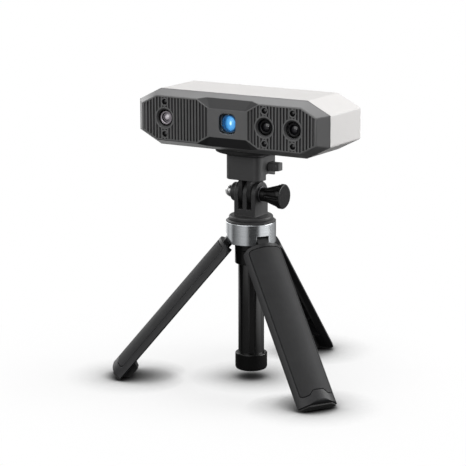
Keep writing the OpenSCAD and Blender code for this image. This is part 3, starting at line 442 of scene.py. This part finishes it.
# Metals and boards
LINES_ALONG_X = (0.02, 1.0, 1.0)
LINES_ALONG_Z = (1.0, 1.0, 0.02)
ALUMINIUM = turned_metal("aluminium", (0.60, 0.62, 0.64), 0.21, middle("collar_ring"), "Z")
BENCH_METAL = brushed_metal("bench_aluminium", (0.58, 0.59, 0.60), 0.36, LINES_ALONG_X)
STEEL = turned_metal("steel", (0.62, 0.62, 0.62), 0.16, PIVOT, "X", strength=0.1)
DARK_STEEL = turned_metal("dark_steel", (0.10, 0.10, 0.105), 0.3, PIVOT, "X", strength=0.15)
BRASS = turned_metal("brass", (0.72, 0.50, 0.20), 0.3, middle("thread_insert"), "Z")
COLUMN_BLACK = brushed_metal("black_aluminium", (0.007, 0.007, 0.007), 0.18, LINES_ALONG_Z, strength=0.12,
    metallic=0.0, level=1.0)
BOARD = circuit_board("circuit_board", (0.010, 0.060, 0.022), (0.020, 0.105, 0.040))
BLACK_BOARD = circuit_board("black_board", (0.003, 0.003, 0.003), (0.007, 0.007, 0.006))

# Axes of the three cameras and of the projector
left_lens_low, left_lens_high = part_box("left_lens")
right_lens_low, right_lens_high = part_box("right_lenses")
projector_low, projector_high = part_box("projector_lens")
LENS_R = (left_lens_high.x - left_lens_low.x) / 2
LENS_Z = middle("left_lens").z
LENS_BACK = left_lens_high.y
LENS_DEPTH = left_lens_high.y - left_lens_low.y
LEFT_LENS = Vector((middle("left_lens").x, LENS_BACK, LENS_Z))
INNER_LENS = Vector((right_lens_low.x + LENS_R, LENS_BACK, LENS_Z))
OUTER_LENS = Vector((right_lens_high.x - LENS_R, LENS_BACK, LENS_Z))
LENSES = [LEFT_LENS, INNER_LENS, OUTER_LENS]
PROJECTOR = middle("projector_lens")
PROJECTOR_R = (projector_high.x - projector_low.x) / 2

# Glass: colours from the middle of each lens to its rim
DARK_RINGS = [(0.0, (0.010, 0.010, 0.014)), (0.42, (0.004, 0.004, 0.006)), (0.5, (0.022, 0.020, 0.026)),
    (0.62, (0.003, 0.003, 0.004)), (1.0, (0.012, 0.012, 0.014))]
PALE_MOUNT = [(0.60, (0.012, 0.010, 0.014)), (0.68, (0.42, 0.39, 0.43)), (1.0, (0.36, 0.33, 0.37))]
# Painted reflection: the left lens's inner element is coloured near white to stand in for its coating reflection
# and glint
PALE_BALL_PAINTED_REFLECTION = [(0.3, (0.97, 0.93, 0.98)), (0.7, (0.78, 0.72, 0.78)), (1.0, (0.40, 0.34, 0.40))]
STREAK_TO_RIM = [(0.0, (0.80, 0.96, 1.0)), (0.09, (0.55, 0.83, 0.98)), (0.19, (0.10, 0.33, 0.58)),
    (0.60, (0.060, 0.25, 0.48)), (0.90, (0.018, 0.12, 0.27)), (1.0, (0.010, 0.06, 0.15))]
# Painted glow: the projector barrel is no lamp; its blue glow stands in for the projector's light on it
BARREL_PAINTED_GLOW_FADE = [(0.70, (0.012, 0.08, 0.19)), (1.0, (0.004, 0.022, 0.05))]
GREEN_FADE = [(0.0, (0.30, 1.0, 0.45)), (0.6, (0.08, 0.70, 0.20)), (1.0, (0.02, 0.30, 0.08))]
BALL = LEFT_LENS + Vector((0.35, 0.0, 0.3)) * MM
BALL_R = 0.55 * LENS_R
STREAK = PROJECTOR + Vector((0.9, 0.0, 0.2)) * MM
STREAK_TALL = 1.9
BARREL_PAINTED_GLOW_R = 1.3 * PROJECTOR_R
STATUS_R = 1.4 * MM
DARK_LENS = lens_glass("dark_glass", DARK_RINGS, [INNER_LENS, OUTER_LENS], LENS_R, 0.15)
# Painted reflection on the left lens's inner element
PALE_LENS_PAINTED_REFLECTION = ball_lens_painted_reflection("pale_glass", LEFT_LENS, LENS_R, PALE_MOUNT, BALL, BALL_R, PALE_BALL_PAINTED_REFLECTION)
PALE_RING = turned_metal("pale_ring", (0.50, 0.47, 0.50), 0.42, LEFT_LENS, "Y", strength=0.1, contrast=0.06)
GLOW = lit_lens("projector_glow", STREAK, PROJECTOR_R, STREAK_TO_RIM, 1.0, STREAK_TALL)
# Painted glow on the projector barrel
BARREL_PAINTED_GLOW = lit_lens("barrel_painted_glow", PROJECTOR, BARREL_PAINTED_GLOW_R, BARREL_PAINTED_GLOW_FADE, 0.8)
STATUS = lit_lens("status_glow", middle("status_light"), STATUS_R, GREEN_FADE, 0.9)
PANE = clear_pane("window_glass", (0.80, 0.90, 1.0))

# Which look each node has
LOOK_OF = {}


def dress_as(slot, material, *names):
    """Gives nodes a look; the slot is not used."""
    for name in names:
        LOOK_OF[name] = material


dress_as("white_plastic", WHITE, "rear_housing")
dress_as("grey_plastic", GREY, "front_frame", "scan_button")
dress_as("black_plastic", BLACK, "projector_engine", "board_chips", "button_switch", "quick_release_plate",
    "finger_base", "platform_cap", "leg_hub")
dress_as("black_plastic", ADAPTER_BLACK, "adapter_block")
dress_as("black_plastic", DEEP_BLACK, "camera_barrels")
dress_as("black_plastic", BARREL_PAINTED_GLOW, "projector_barrel")
dress_as("black_plastic", TAB_GREY, "release_tab")
dress_as("black_plastic", GLOSS_BLACK, "thumb_knob", "column_collar", "column_cap")
dress_as("black_plastic", LEG_BLACK, "leg_rear_shell", "leg_left_shell", "leg_right_shell")
dress_as("black_plastic", COVER_BLACK, "leg_rear_cover", "leg_left_cover", "leg_right_cover")
dress_as("black_aluminium", COLUMN_BLACK, "column_tube", "pole_lower")
dress_as("aluminium", ALUMINIUM, "collar_ring", "pole_upper")
dress_as("aluminium", BENCH_METAL, "optical_bench", "heat_sink")
dress_as("steel", STEEL, "bench_screws", "board_screws", "usb_socket", "plate_screw", "release_spring",
    "dome_nut", "pivot_bolt", "platform_stud", "leg_pins")
dress_as("steel", DARK_STEEL, "pivot_washer")
dress_as("brass", BRASS, "thread_insert")
dress_as("rubber", RUBBER, "base_pad")
dress_as("rubber", FOOT_RUBBER, "leg_rear_foot", "leg_left_foot", "leg_right_foot")
dress_as("dark_glass", DARK_LENS, "right_lenses")
dress_as("dark_glass", LIGHT_GLASS, "light_windows")
dress_as("pale_glass", PALE_LENS_PAINTED_REFLECTION, "left_lens")
dress_as("pale_glass", PANE, "projector_window")
dress_as("lit_glass", GLOW, "projector_lens")
dress_as("lit_glass", STATUS, "status_light")
dress_as("circuit_board", BOARD, "main_board")
dress_as("circuit_board", BLACK_BOARD, "camera_boards", "light_boards")
for name, node in nodes.items():
    node.data.materials.clear()
    node.data.materials.append(LOOK_OF[name])

# Pieces
SHARP_ANGLE = math.radians(33)
FLAT_ANGLE = math.radians(0.5)
WELD = 2e-6
TINY = 1e-7


def place_piece(name, bm, material, body, stands_for=(), edge=0.0, segments=2):
    """Mesh piece with its marked edges rounded and flat faces kept flat."""
    mesh = bpy.data.meshes.new(name)
    bm.to_mesh(mesh)
    bm.free()
    mesh.materials.append(material)
    mesh.shade_smooth()
    mesh.set_sharp_from_angle(angle=SHARP_ANGLE)
    piece = bpy.data.objects.new(name, mesh)
    scene.collection.objects.link(piece)
    if edge:
        rounding = piece.modifiers.new("rounding", "BEVEL")
        rounding.limit_method = "WEIGHT"
        rounding.width = edge
        rounding.segments = segments
        rounding.use_clamp_overlap = False
        rounding.loop_slide = False
    weighted = piece.modifiers.new("flat_faces", "WEIGHTED_NORMAL")
    weighted.keep_sharp = True
    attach(piece, body)
    if stands_for:
        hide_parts(*stands_for)
    return piece


def rounded(node, edge, weight=None, angle=25.0, segments=2, merge=True, look_of=None, reshape=None):
    """A node's own form with rounded edges.

    weight gives each edge sharper than the angle its share of the rounding, look_of gives each face its
    material, and reshape changes the form before the edges are rounded.
    """
    bm = bmesh.new()
    bm.from_mesh(nodes[node].data)
    bmesh.ops.remove_doubles(bm, verts=bm.verts, dist=WELD)
    if reshape:
        reshape(bm)
    if merge:
        bmesh.ops.dissolve_limit(bm, angle_limit=FLAT_ANGLE, verts=bm.verts, edges=bm.edges)
    if look_of:
        for face in bm.faces:
            face.material_index = look_of(face)
    layer = bm.edges.layers.float.new("bevel_weight_edge")
    for e in bm.edges:
        if len(e.link_faces) == 2 and e.calc_face_angle(0.0) > math.radians(angle):
            e[layer] = weight(e) if weight else 1.0
    name = node + "_form"
    return place_piece(name, bm, LOOK_OF[node], BODY_OF[node], [node], edge, segments)


def lathe(bm, profile, centre, axis, segments):
    """Adds a turned form: profile points are (radius, height along the axis)."""
    axis = Vector(axis).normalized()
    side = axis.orthogonal().normalized()
    other = axis.cross(side)
    rings = []
    for radius, height in profile:
        base = Vector(centre) + axis * height
        if radius < TINY:
            rings.append([bm.verts.new(base)])
            continue
        ring = []
        for i in range(segments):
            a = 2 * math.pi * i / segments
            ring.append(bm.verts.new(base + (side * math.cos(a) + other * math.sin(a)) * radius))
        rings.append(ring)
    for low, high in zip(rings, rings[1:]):
        for i in range(segments):
            j = (i + 1) % segments
            corners = [low[i % len(low)], low[j % len(low)], high[j % len(high)], high[i % len(high)]]
            unique = list(dict.fromkeys(corners))
            if len(unique) > 2:
                bm.faces.new(unique)


def closed_lathe(bm, profile, centre, axis, segments):
    """Adds a turned ring whose profile closes on itself."""
    lathe(bm, profile + profile[:1], centre, axis, segments)
    bmesh.ops.remove_doubles(bm, verts=bm.verts, dist=TINY)
    bmesh.ops.recalc_face_normals(bm, faces=bm.faces)


def capsule(bm, start, end, radius, segments=12, rings=4):
    """Adds a bar with round ends."""
    start, end = Vector(start), Vector(end)
    length = (end - start).length
    caps = [math.pi / 2 * i / rings for i in range(rings + 1)]
    profile = [(radius * math.sin(a), -radius * math.cos(a)) for a in caps]
    profile += [(radius * math.cos(a), length + radius * math.sin(a)) for a in caps]
    lathe(bm, profile, start, end - start, segments)


def in_mm(points):
    """Profile points given in millimetres."""
    return [(radius * MM, height * MM) for radius, height in points]


# Where the edges of the head are rounded, and how its faces look
FORWARD = (0.0, -1.0, 0.0)
REARWARD = (0.0, 1.0, 0.0)
HEAD_LOW, HEAD_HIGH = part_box("rear_housing")
FACE_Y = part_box("front_frame")[0].y
REAR_Y = HEAD_HIGH.y
NEARLY = 0.02 * MM
RIM_SHARE = 0.25
OPENING_SHARE = 0.2
REAR_FIELD_INSET = 17 * MM
REAR_FIELD_HALF_H = 14 * MM
HOUSING_SHORT = 3 * MM
RIB_SHARE = 0.34
FRAME_SHORT = 3.2 * MM
FRAME_DEEP = 6.0 * MM
LENS_WALL_R = 5.2 * MM
LENS_CONE_R = 5.7 * MM
PROJECTOR_HALF_W = 7.5 * MM
RIB_INNER_X = 19 * MM
GROOVE_INNER_X = 13.5 * MM
PANEL_OUTER_X = 57 * MM
GROOVE_TOP = 0.15 * MM
GROOVE_FLOOR = 1.5 * MM
WALL_BEND = math.radians(30)
BACKWARD_SHARE = 0.7
VALLEY_FLAT = -0.97
VALLEY_STEEP = -0.8
VALLEY_LEAN = 0.25


def housing_edge(e):
    """Full rounding for the outer edges of the housing, less for its front rim and its openings."""
    mid = (e.verts[0].co + e.verts[1].co) / 2
    if mid.y < HEAD_LOW.y + NEARLY:
        return RIM_SHARE
    in_width = abs(mid.x) < HEAD_HIGH.x - REAR_FIELD_INSET
    in_height = abs(mid.z - LENS_Z) < REAR_FIELD_HALF_H
    if (in_width and in_height) or e.calc_length() < HOUSING_SHORT:
        return OPENING_SHARE
    return 1.0


def nearest_lens(point):
    """Distance from the closest camera axis."""
    return min(math.hypot(point.x - lens.x, point.z - lens.z) for lens in LENSES)


def frame_edge(e):
    """Full rounding for the facets, a third for ribs and openings, none for walls of the lens openings."""
    first, second = e.verts[0].co, e.verts[1].co
    mid = (first + second) / 2
    runs_back = abs(first.y - second.y) > BACKWARD_SHARE * e.calc_length()
    if runs_back and e.calc_face_angle(0.0) < WALL_BEND:
        return 0.0
    if nearest_lens(mid) < LENS_WALL_R:
        return 0.0
    if abs(mid.x - PROJECTOR.x) < PROJECTOR_HALF_W and abs(mid.z - PROJECTOR.z) < PROJECTOR_HALF_W:
        return RIB_SHARE
    if mid.y > FACE_Y + FRAME_DEEP or e.calc_length() < FRAME_SHORT:
        return RIB_SHARE
    upright = abs(first.x - second.x) < NEARLY and abs(first.y - second.y) < NEARLY
    if upright and RIB_INNER_X < abs(mid.x) < PANEL_OUTER_X:
        return RIB_SHARE
    return 1.0


def frame_look(face):
    """0 plain; 1 grooves and lens cones, 2 the valley above the projector, 3 the valley below it, all three with
    painted shade.
    """
    centre = face.calc_center_median()
    if VALLEY_FLAT < face.normal.y < VALLEY_STEEP and abs(face.normal.z) > VALLEY_LEAN:
        return 2 if centre.z > LENS_Z else 3
    if nearest_lens(centre) < LENS_CONE_R and centre.y > FACE_Y + NEARLY:
        return 1
    between_ribs = GROOVE_INNER_X < abs(centre.x) < PANEL_OUTER_X
    return int(between_ribs and FACE_Y + GROOVE_TOP < centre.y < FACE_Y + GROOVE_FLOOR)


# How the adapter's fingers and the tops of the legs are formed
FINGER_TOP = PIVOT.z + 9.0 * MM
LEG_SPREAD = math.radians(40)
SHOULDER_LEVEL = 5.0 * MM
TONGUE_HALF_W = 3.65 * MM
TONGUE_REACH = 2.05 * MM
TOP_REACH = 13.0 * MM
TOP_WELD = 2e-5
CRISP_ANGLE = math.radians(5)


def adapter_look(face):
    """1 for the two fingers below the block, which carry painted shade where they sit in the slots, 0 for the
    block.
    """
    return int(face.calc_center_median().z < FINGER_TOP)


def below(height):
    """Full rounding below a height, none above it."""
    return lambda e: 1.0 if max(v.co.z for v in e.verts) < height else 0.0


def level_shoulders(leg):
    """Ends a leg's shoulders level below the pin instead of in thin lips; the tongue at the pin stays."""
    joint = [j for j in frame["joints"] if j["name"] == f"leg_{leg}_fold"][0]
    pivot = Vector(joint["pos_m"])
    lateral = Vector(joint["axis"])
    outward = (pivot - Vector((0.0, COLUMN_Y, pivot.z))).normalized()
    upward = Vector((0.0, 0.0, 1.0))
    along = outward * math.sin(LEG_SPREAD) - upward * math.cos(LEG_SPREAD)
    facing = outward * math.cos(LEG_SPREAD) + upward * math.sin(LEG_SPREAD)

    def at_top(v):
        return (v.co - pivot).dot(along) < TOP_REACH

    def level(bm):
        for v in bm.verts:
            offset = v.co - pivot
            in_tongue = abs(offset.dot(lateral)) < TONGUE_HALF_W and offset.dot(facing) < TONGUE_REACH
            short = SHOULDER_LEVEL - offset.dot(along)
            if short > 0 and not in_tongue:
                v.co += along * short
        bmesh.ops.dissolve_degenerate(bm, dist=TOP_WELD, edges=bm.edges)
        verts = [v for v in bm.verts if at_top(v)]
        edges = [e for e in bm.edges if all(at_top(v) for v in e.verts)]
        bmesh.ops.dissolve_limit(bm, angle_limit=FLAT_ANGLE, verts=verts, edges=edges)
    return level


def crisp_top(piece, height):
    """Keeps the small faces at a leg's top from shading into each other."""
    bm = bmesh.new()
    bm.from_mesh(piece.data)
    for e in bm.edges:
        if min(v.co.z for v in e.verts) > height and e.calc_face_angle(0.0) > CRISP_ANGLE:
            e.smooth = False
    bm.to_mesh(piece.data)
    bm.free()


# Head and mount
rounded("rear_housing", 0.8 * MM, weight=housing_edge, angle=20.0, segments=3)
frame_form = rounded("front_frame", 0.5 * MM, weight=frame_edge, angle=9.0, look_of=frame_look)
# Painted shade: darker greys for the grooves, lens cones and valleys
for look in (GROOVE_SHADE_GREY, VALLEY_SHADE_GREY, VALLEY_DEEP_SHADE):
    frame_form.data.materials.append(look)
rounded("scan_button", 0.35 * MM)
rounded("usb_socket", 0.07 * MM)
rounded("camera_barrels", 0.12 * MM)
rounded("base_pad", 0.5 * MM)
rounded("quick_release_plate", 0.35 * MM)
adapter_form = rounded("adapter_block", 0.4 * MM, merge=False, look_of=adapter_look)
# The fingers' material paints shade on them low in the slots
adapter_form.data.materials.append(FINGER_SHADED_BLACK)
rounded("release_tab", 0.35 * MM)
rounded("finger_base", 0.35 * MM)
rounded("dome_nut", 0.2 * MM)
rounded("pivot_washer", 0.15 * MM)
rounded("thumb_knob", 0.0)

# Column and legs
rounded("platform_cap", 0.2 * MM)
rounded("collar_ring", 0.3 * MM)
rounded("column_collar", 0.6 * MM)
rounded("column_tube", 0.3 * MM)
rounded("column_cap", 0.25 * MM, angle=18.0)
for leg in ("rear", "left", "right"):
    shell = f"leg_{leg}_shell"
    top_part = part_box(shell)[1].z - TOP_REACH
    shell_form = rounded(shell, 0.25 * MM, below(top_part), merge=False, reshape=level_shoulders(leg))
    crisp_top(shell_form, top_part)
    rounded(f"leg_{leg}_cover", 0.25 * MM)
    rounded(f"leg_{leg}_foot", 0.3 * MM)

# Lenses
LENS_CURVE = 1.5 * LENS_R
LENS_SEGMENTS = 48


def dome_profile(radius, depth, curve, steps=12):
    """Profile of a flat-backed lens whose face has the radius of curvature curve."""
    points = [(0.0, depth)]
    for i in range(1, steps + 1):
        r = radius * i / steps
        points.append((r, depth - curve + math.sqrt(curve * curve - r * r)))
    return points + [(radius, 0.0), (0.0, 0.0)]


def lens_piece(name, centres, material, stands_for):
    """Camera lenses with domed faces, as one piece."""
    bm = bmesh.new()
    for centre in centres:
        lathe(bm, dome_profile(LENS_R, LENS_DEPTH, LENS_CURVE), centre, FORWARD, LENS_SEGMENTS)
    bmesh.ops.recalc_face_normals(bm, faces=bm.faces)
    place_piece(name, bm, material, "head", [stands_for])


lens_piece("left_lens_dome", [LEFT_LENS], PALE_LENS_PAINTED_REFLECTION, "left_lens")
lens_piece("right_lens_domes", [INNER_LENS, OUTER_LENS], DARK_LENS, "right_lenses")

# A threaded retaining ring sits on the mouth of each barrel
BARREL_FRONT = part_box("camera_barrels")[0].y
RING_SEGMENTS = 64
RING_PROFILE = in_mm([(3.08, 0.0), (3.08, 0.22), (3.22, 0.30), (3.30, 0.30), (3.35, 0.18), (3.42, 0.18),
    (3.50, 0.30), (3.55, 0.18), (3.62, 0.18), (3.70, 0.30), (3.75, 0.18), (3.82, 0.18), (3.92, 0.32),
    (3.98, 0.24), (3.98, 0.0)])


def retaining_rings(name, centres, material):
    """Rings with three shallow grooves in front of the lenses, as one piece."""
    bm = bmesh.new()
    for centre in centres:
        mouth = Vector((centre.x, BARREL_FRONT, centre.z))
        closed_lathe(bm, RING_PROFILE, mouth, FORWARD, RING_SEGMENTS)
    place_piece(name, bm, material, "head")


retaining_rings("left_retaining_ring", [LEFT_LENS], PALE_RING)
retaining_rings("right_retaining_rings", [INNER_LENS, OUTER_LENS], DEEP_BLACK)

# Domed windows of the lights, set back in their holes
light_low, light_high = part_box("light_windows")
LIGHT_R = 1.7 * MM
LIGHT_DEPTH = light_high.y - light_low.y
LIGHT_CURVE = 2.6 * MM
LIGHT_SEGMENTS = 32
bm = bmesh.new()
for centre in LENSES:
    for z in (light_low.z + LIGHT_R, light_high.z - LIGHT_R):
        base = Vector((centre.x, light_high.y, z))
        lathe(bm, dome_profile(LIGHT_R, LIGHT_DEPTH, LIGHT_CURVE), base, FORWARD, LIGHT_SEGMENTS)
bmesh.ops.recalc_face_normals(bm, faces=bm.faces)
place_piece("light_domes", bm, LIGHT_GLASS, "head", ["light_windows"])

# Rings round the scan button and the status light
BUTTON_RING = in_mm([(4.35, -0.1), (4.35, 0.2), (4.6, 0.35), (5.0, 0.35), (5.2, 0.2), (5.2, -0.1)])
STATUS_RING = in_mm([(1.25, -0.1), (1.25, 0.1), (1.4, 0.2), (1.7, 0.2), (1.8, 0.1), (1.8, -0.1)])
STATUS_SEGMENTS = 40
bm = bmesh.new()
closed_lathe(bm, BUTTON_RING, (middle("scan_button").x, REAR_Y, LENS_Z), REARWARD, RING_SEGMENTS)
closed_lathe(bm, STATUS_RING, (middle("status_light").x, REAR_Y, LENS_Z), REARWARD, STATUS_SEGMENTS)
place_piece("rear_rings", bm, GREY, "head")

# Grip ridges on the release tab: three on its flat front, three on its slanted end
tab_low, tab_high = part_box("release_tab")
TAB_SLANT = 2.2 * MM
RIDGE_R = 0.26 * MM
RIDGE_INSET = 0.75 * MM
slant_x = tab_high.x - TAB_SLANT
ridge_places = [(slant_x - shift * MM, tab_low.y) for shift in (0.25, 0.90, 1.55)]
ridge_places += [(slant_x + TAB_SLANT * share, tab_low.y + TAB_SLANT * share) for share in (0.2, 0.5, 0.8)]
bm = bmesh.new()
for x, y in ridge_places:
    capsule(bm, (x, y, tab_low.z + RIDGE_INSET), (x, y, tab_high.z - RIDGE_INSET), RIDGE_R)
bmesh.ops.recalc_face_normals(bm, faces=bm.faces)
place_piece("tab_ridges", bm, TAB_GREY, "tab")

# Spring behind the release tab, with a mesh of its own
spring_form = rounded("release_spring", 0.0)
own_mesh(spring_form)

# Floor
FLOOR_HALF_W = 6
# Painted contact shadow: ambient occlusion within this reach, raised to this power, darkens the floor's colour and
# glow
CONTACT_REACH = 0.030
CONTACT_POWER = 3.4
CONTACT_SAMPLES = 12
PAPER_DARK = (0.87, 0.87, 0.87)
PAPER_LIGHT = (0.90, 0.90, 0.90)
BOUNCE_GREY = (0.08, 0.08, 0.08, 1.0)
WHITE_LIGHT = (1.0, 1.0, 1.0, 1.0)
CLEAR_LEAST = 0.66
CLEAR_FROM = 0.08
CLEAR_TO = 0.2
MIRROR_CENTRE = (-0.02, -0.10, 0.0)
MIRROR_FROM = 0.12
MIRROR_TO = 0.26

# Brightness of the studio's walls round the object: from the left by the front, the right and the back
STUDIO = [(0.0, 0.6), (0.05, 0.7), (0.09, 0.10), (0.17, 0.38), (0.22, 0.64), (0.275, 0.64), (0.305, 0.03),
    (0.42, 0.06), (0.455, 1.0), (0.56, 1.0), (0.60, 0.45), (0.70, 0.42), (0.76, 0.15), (0.84, 0.25),
    (0.868, 0.25), (0.893, 1.0), (0.94, 1.0), (0.97, 0.4), (1.0, 0.45)]


def studio_walls(tree, vector):
    """Brightness of the studio in a direction: two bright walls and darker corners between them."""
    place = axes_of(tree, vector)
    angle = math_node(tree, "ARCTAN2", place["Y"], place["X"])
    round_share = spread(tree, angle, 0.0, 1.0, -math.pi, math.pi)
    return stops(tree, round_share, [(position, (bright,) * 3) for position, bright in STUDIO])


def white_unless_glossy(tree, studio):
    """1 for the camera and through glass, the studio's brightness in reflections."""
    glossy = add(tree, "ShaderNodeLightPath").outputs["Is Glossy Ray"]
    darker = math_node(tree, "MULTIPLY", glossy, math_node(tree, "SUBTRACT", 1.0, studio))
    return math_node(tree, "SUBTRACT", 1.0, darker)


def floor_paper():
    """White paper with the lamps' shadows and a painted contact shadow close under the object; further off it is
    as bright as the background.
    """
    material = bpy.data.materials.new("floor_paper")
    material.use_nodes = True
    tree = material.node_tree
    tree.nodes.clear()
    place = object_place(tree)
    path = add(tree, "ShaderNodeLightPath").outputs
    contact = add(tree, "ShaderNodeAmbientOcclusion", samples=CONTACT_SAMPLES)
    contact.inputs["Distance"].default_value = CONTACT_REACH
    # Painted contact shadow under the object
    contact_shadow = math_node(tree, "POWER", contact.outputs["AO"], CONTACT_POWER)
    tooth = noise(tree, place, PAPER_SCALE, detail=4.0)
    tone = stops(tree, tooth, [(DARK_END, PAPER_DARK), (LIGHT_END, PAPER_LIGHT)])
    paper = add(tree, "ShaderNodeBsdfDiffuse")
    tree.links.new(scaled(tree, tone, contact_shadow), paper.inputs["Color"])
    shade = add(tree, "ShaderNodeBsdfDiffuse")
    shade.inputs["Color"].default_value = BOUNCE_GREY
    indirect = math_node(tree, "MAXIMUM", path["Is Diffuse Ray"], path["Is Glossy Ray"])
    lit = blended(tree, indirect, paper.outputs["BSDF"], shade.outputs["BSDF"])
    glow = add(tree, "ShaderNodeEmission")
    glow.inputs["Color"].default_value = WHITE_LIGHT
    white_floor = white_unless_glossy(tree, studio_walls(tree, place))
    tree.links.new(math_node(tree, "MULTIPLY", white_floor, contact_shadow), glow.inputs["Strength"])
    clear = spread(tree, length_of(tree, place), CLEAR_LEAST, 1.0, CLEAR_FROM, CLEAR_TO)
    front_reach = length_of(tree, shifted(tree, place, MIRROR_CENTRE))
    mirrored = spread(tree, front_reach, 0.0, 1.0, MIRROR_FROM, MIRROR_TO)
    direct = math_node(tree, "MAXIMUM", path["Is Camera Ray"], path["Is Transmission Ray"])
    direct_share = math_node(tree, "MULTIPLY", direct, clear)
    glossy_share = math_node(tree, "MULTIPLY", path["Is Glossy Ray"], mirrored)
    share = math_node(tree, "MAXIMUM", direct_share, glossy_share)
    output = add(tree, "ShaderNodeOutputMaterial")
    tree.links.new(blended(tree, share, lit, glow.outputs["Emission"]), output.inputs["Surface"])
    return material


corners = [(-FLOOR_HALF_W, -FLOOR_HALF_W, 0), (FLOOR_HALF_W, -FLOOR_HALF_W, 0),
    (FLOOR_HALF_W, FLOOR_HALF_W, 0), (-FLOOR_HALF_W, FLOOR_HALF_W, 0)]
mesh = bpy.data.meshes.new("floor")
mesh.from_pydata(corners, [], [(0, 1, 2, 3)])
mesh.materials.append(floor_paper())
floor = bpy.data.objects.new("floor", mesh)
scene.collection.objects.link(floor)

# White background; reflections see a studio with darker corners, other light is even
AMBIENT = 0.08
OVERHEAD_LEAST = 0.3
OVERHEAD_FROM = 0.1
OVERHEAD_TO = 0.7


def seen_directly(tree):
    """1 for what the camera, a reflection or a refraction sees, 0 for what only lights the object."""
    path = add(tree, "ShaderNodeLightPath").outputs
    first = math_node(tree, "MAXIMUM", path["Is Camera Ray"], path["Is Glossy Ray"])
    return math_node(tree, "MAXIMUM", first, path["Is Transmission Ray"])


def light_world(world):
    """Builds the background's nodes."""
    world.use_nodes = True
    tree = world.node_tree
    tree.nodes.clear()
    ambient = add(tree, "ShaderNodeBackground")
    ambient.inputs["Color"].default_value = WHITE_LIGHT
    ambient.inputs["Strength"].default_value = AMBIENT
    white = add(tree, "ShaderNodeBackground")
    white.inputs["Color"].default_value = WHITE_LIGHT
    direction = add(tree, "ShaderNodeTexCoord").outputs["Generated"]
    height = axes_of(tree, direction)["Z"]
    overhead = spread(tree, height, OVERHEAD_LEAST, 1.0, OVERHEAD_FROM, OVERHEAD_TO)
    studio = math_node(tree, "MAXIMUM", studio_walls(tree, direction), overhead)
    tree.links.new(white_unless_glossy(tree, studio), white.inputs["Strength"])
    both = blended(tree, seen_directly(tree), ambient.outputs["Background"], white.outputs["Background"])
    output = add(tree, "ShaderNodeOutputWorld")
    tree.links.new(both, output.inputs["Surface"])


scene.world = bpy.data.worlds.new("world")
light_world(scene.world)


# Lamps
def softbox(name, place, target, size, power):
    """Rectangular soft lamp aimed at a point."""
    data = bpy.data.lights.new(name, "AREA")
    data.shape = "RECTANGLE"
    data.size, data.size_y = size
    data.energy = power
    lamp = bpy.data.objects.new(name, data)
    lamp.location = place
    aim = Vector(target) - Vector(place)
    lamp.rotation_mode = "QUATERNION"
    lamp.rotation_quaternion = aim.to_track_quat("-Z", "Y")
    scene.collection.objects.link(lamp)


softbox("top_light", place=(-0.15, 0.0, 1.2), target=(-0.05, 0.0, 0.1), size=(1.4, 1.2), power=10.2)
softbox("right_light", place=(0.95, 0.65, 0.45), target=(0.0, 0.0, 0.12), size=(1.0, 0.9), power=17.2)
softbox("front_light", place=(-0.1, -1.0, 0.52), target=(0.0, 0.0, 0.13), size=(1.0, 0.7), power=4.0)
softbox("left_light", place=(-1.05, 0.3, 0.5), target=(0.0, 0.0, 0.12), size=(0.9, 0.7), power=3.2)
softbox("lens_light", place=(0.19, -1.0, 0.26), target=(0.0, 0.0, 0.15), size=(0.08, 0.08), power=0.6)

bpy.context.view_layer.update()
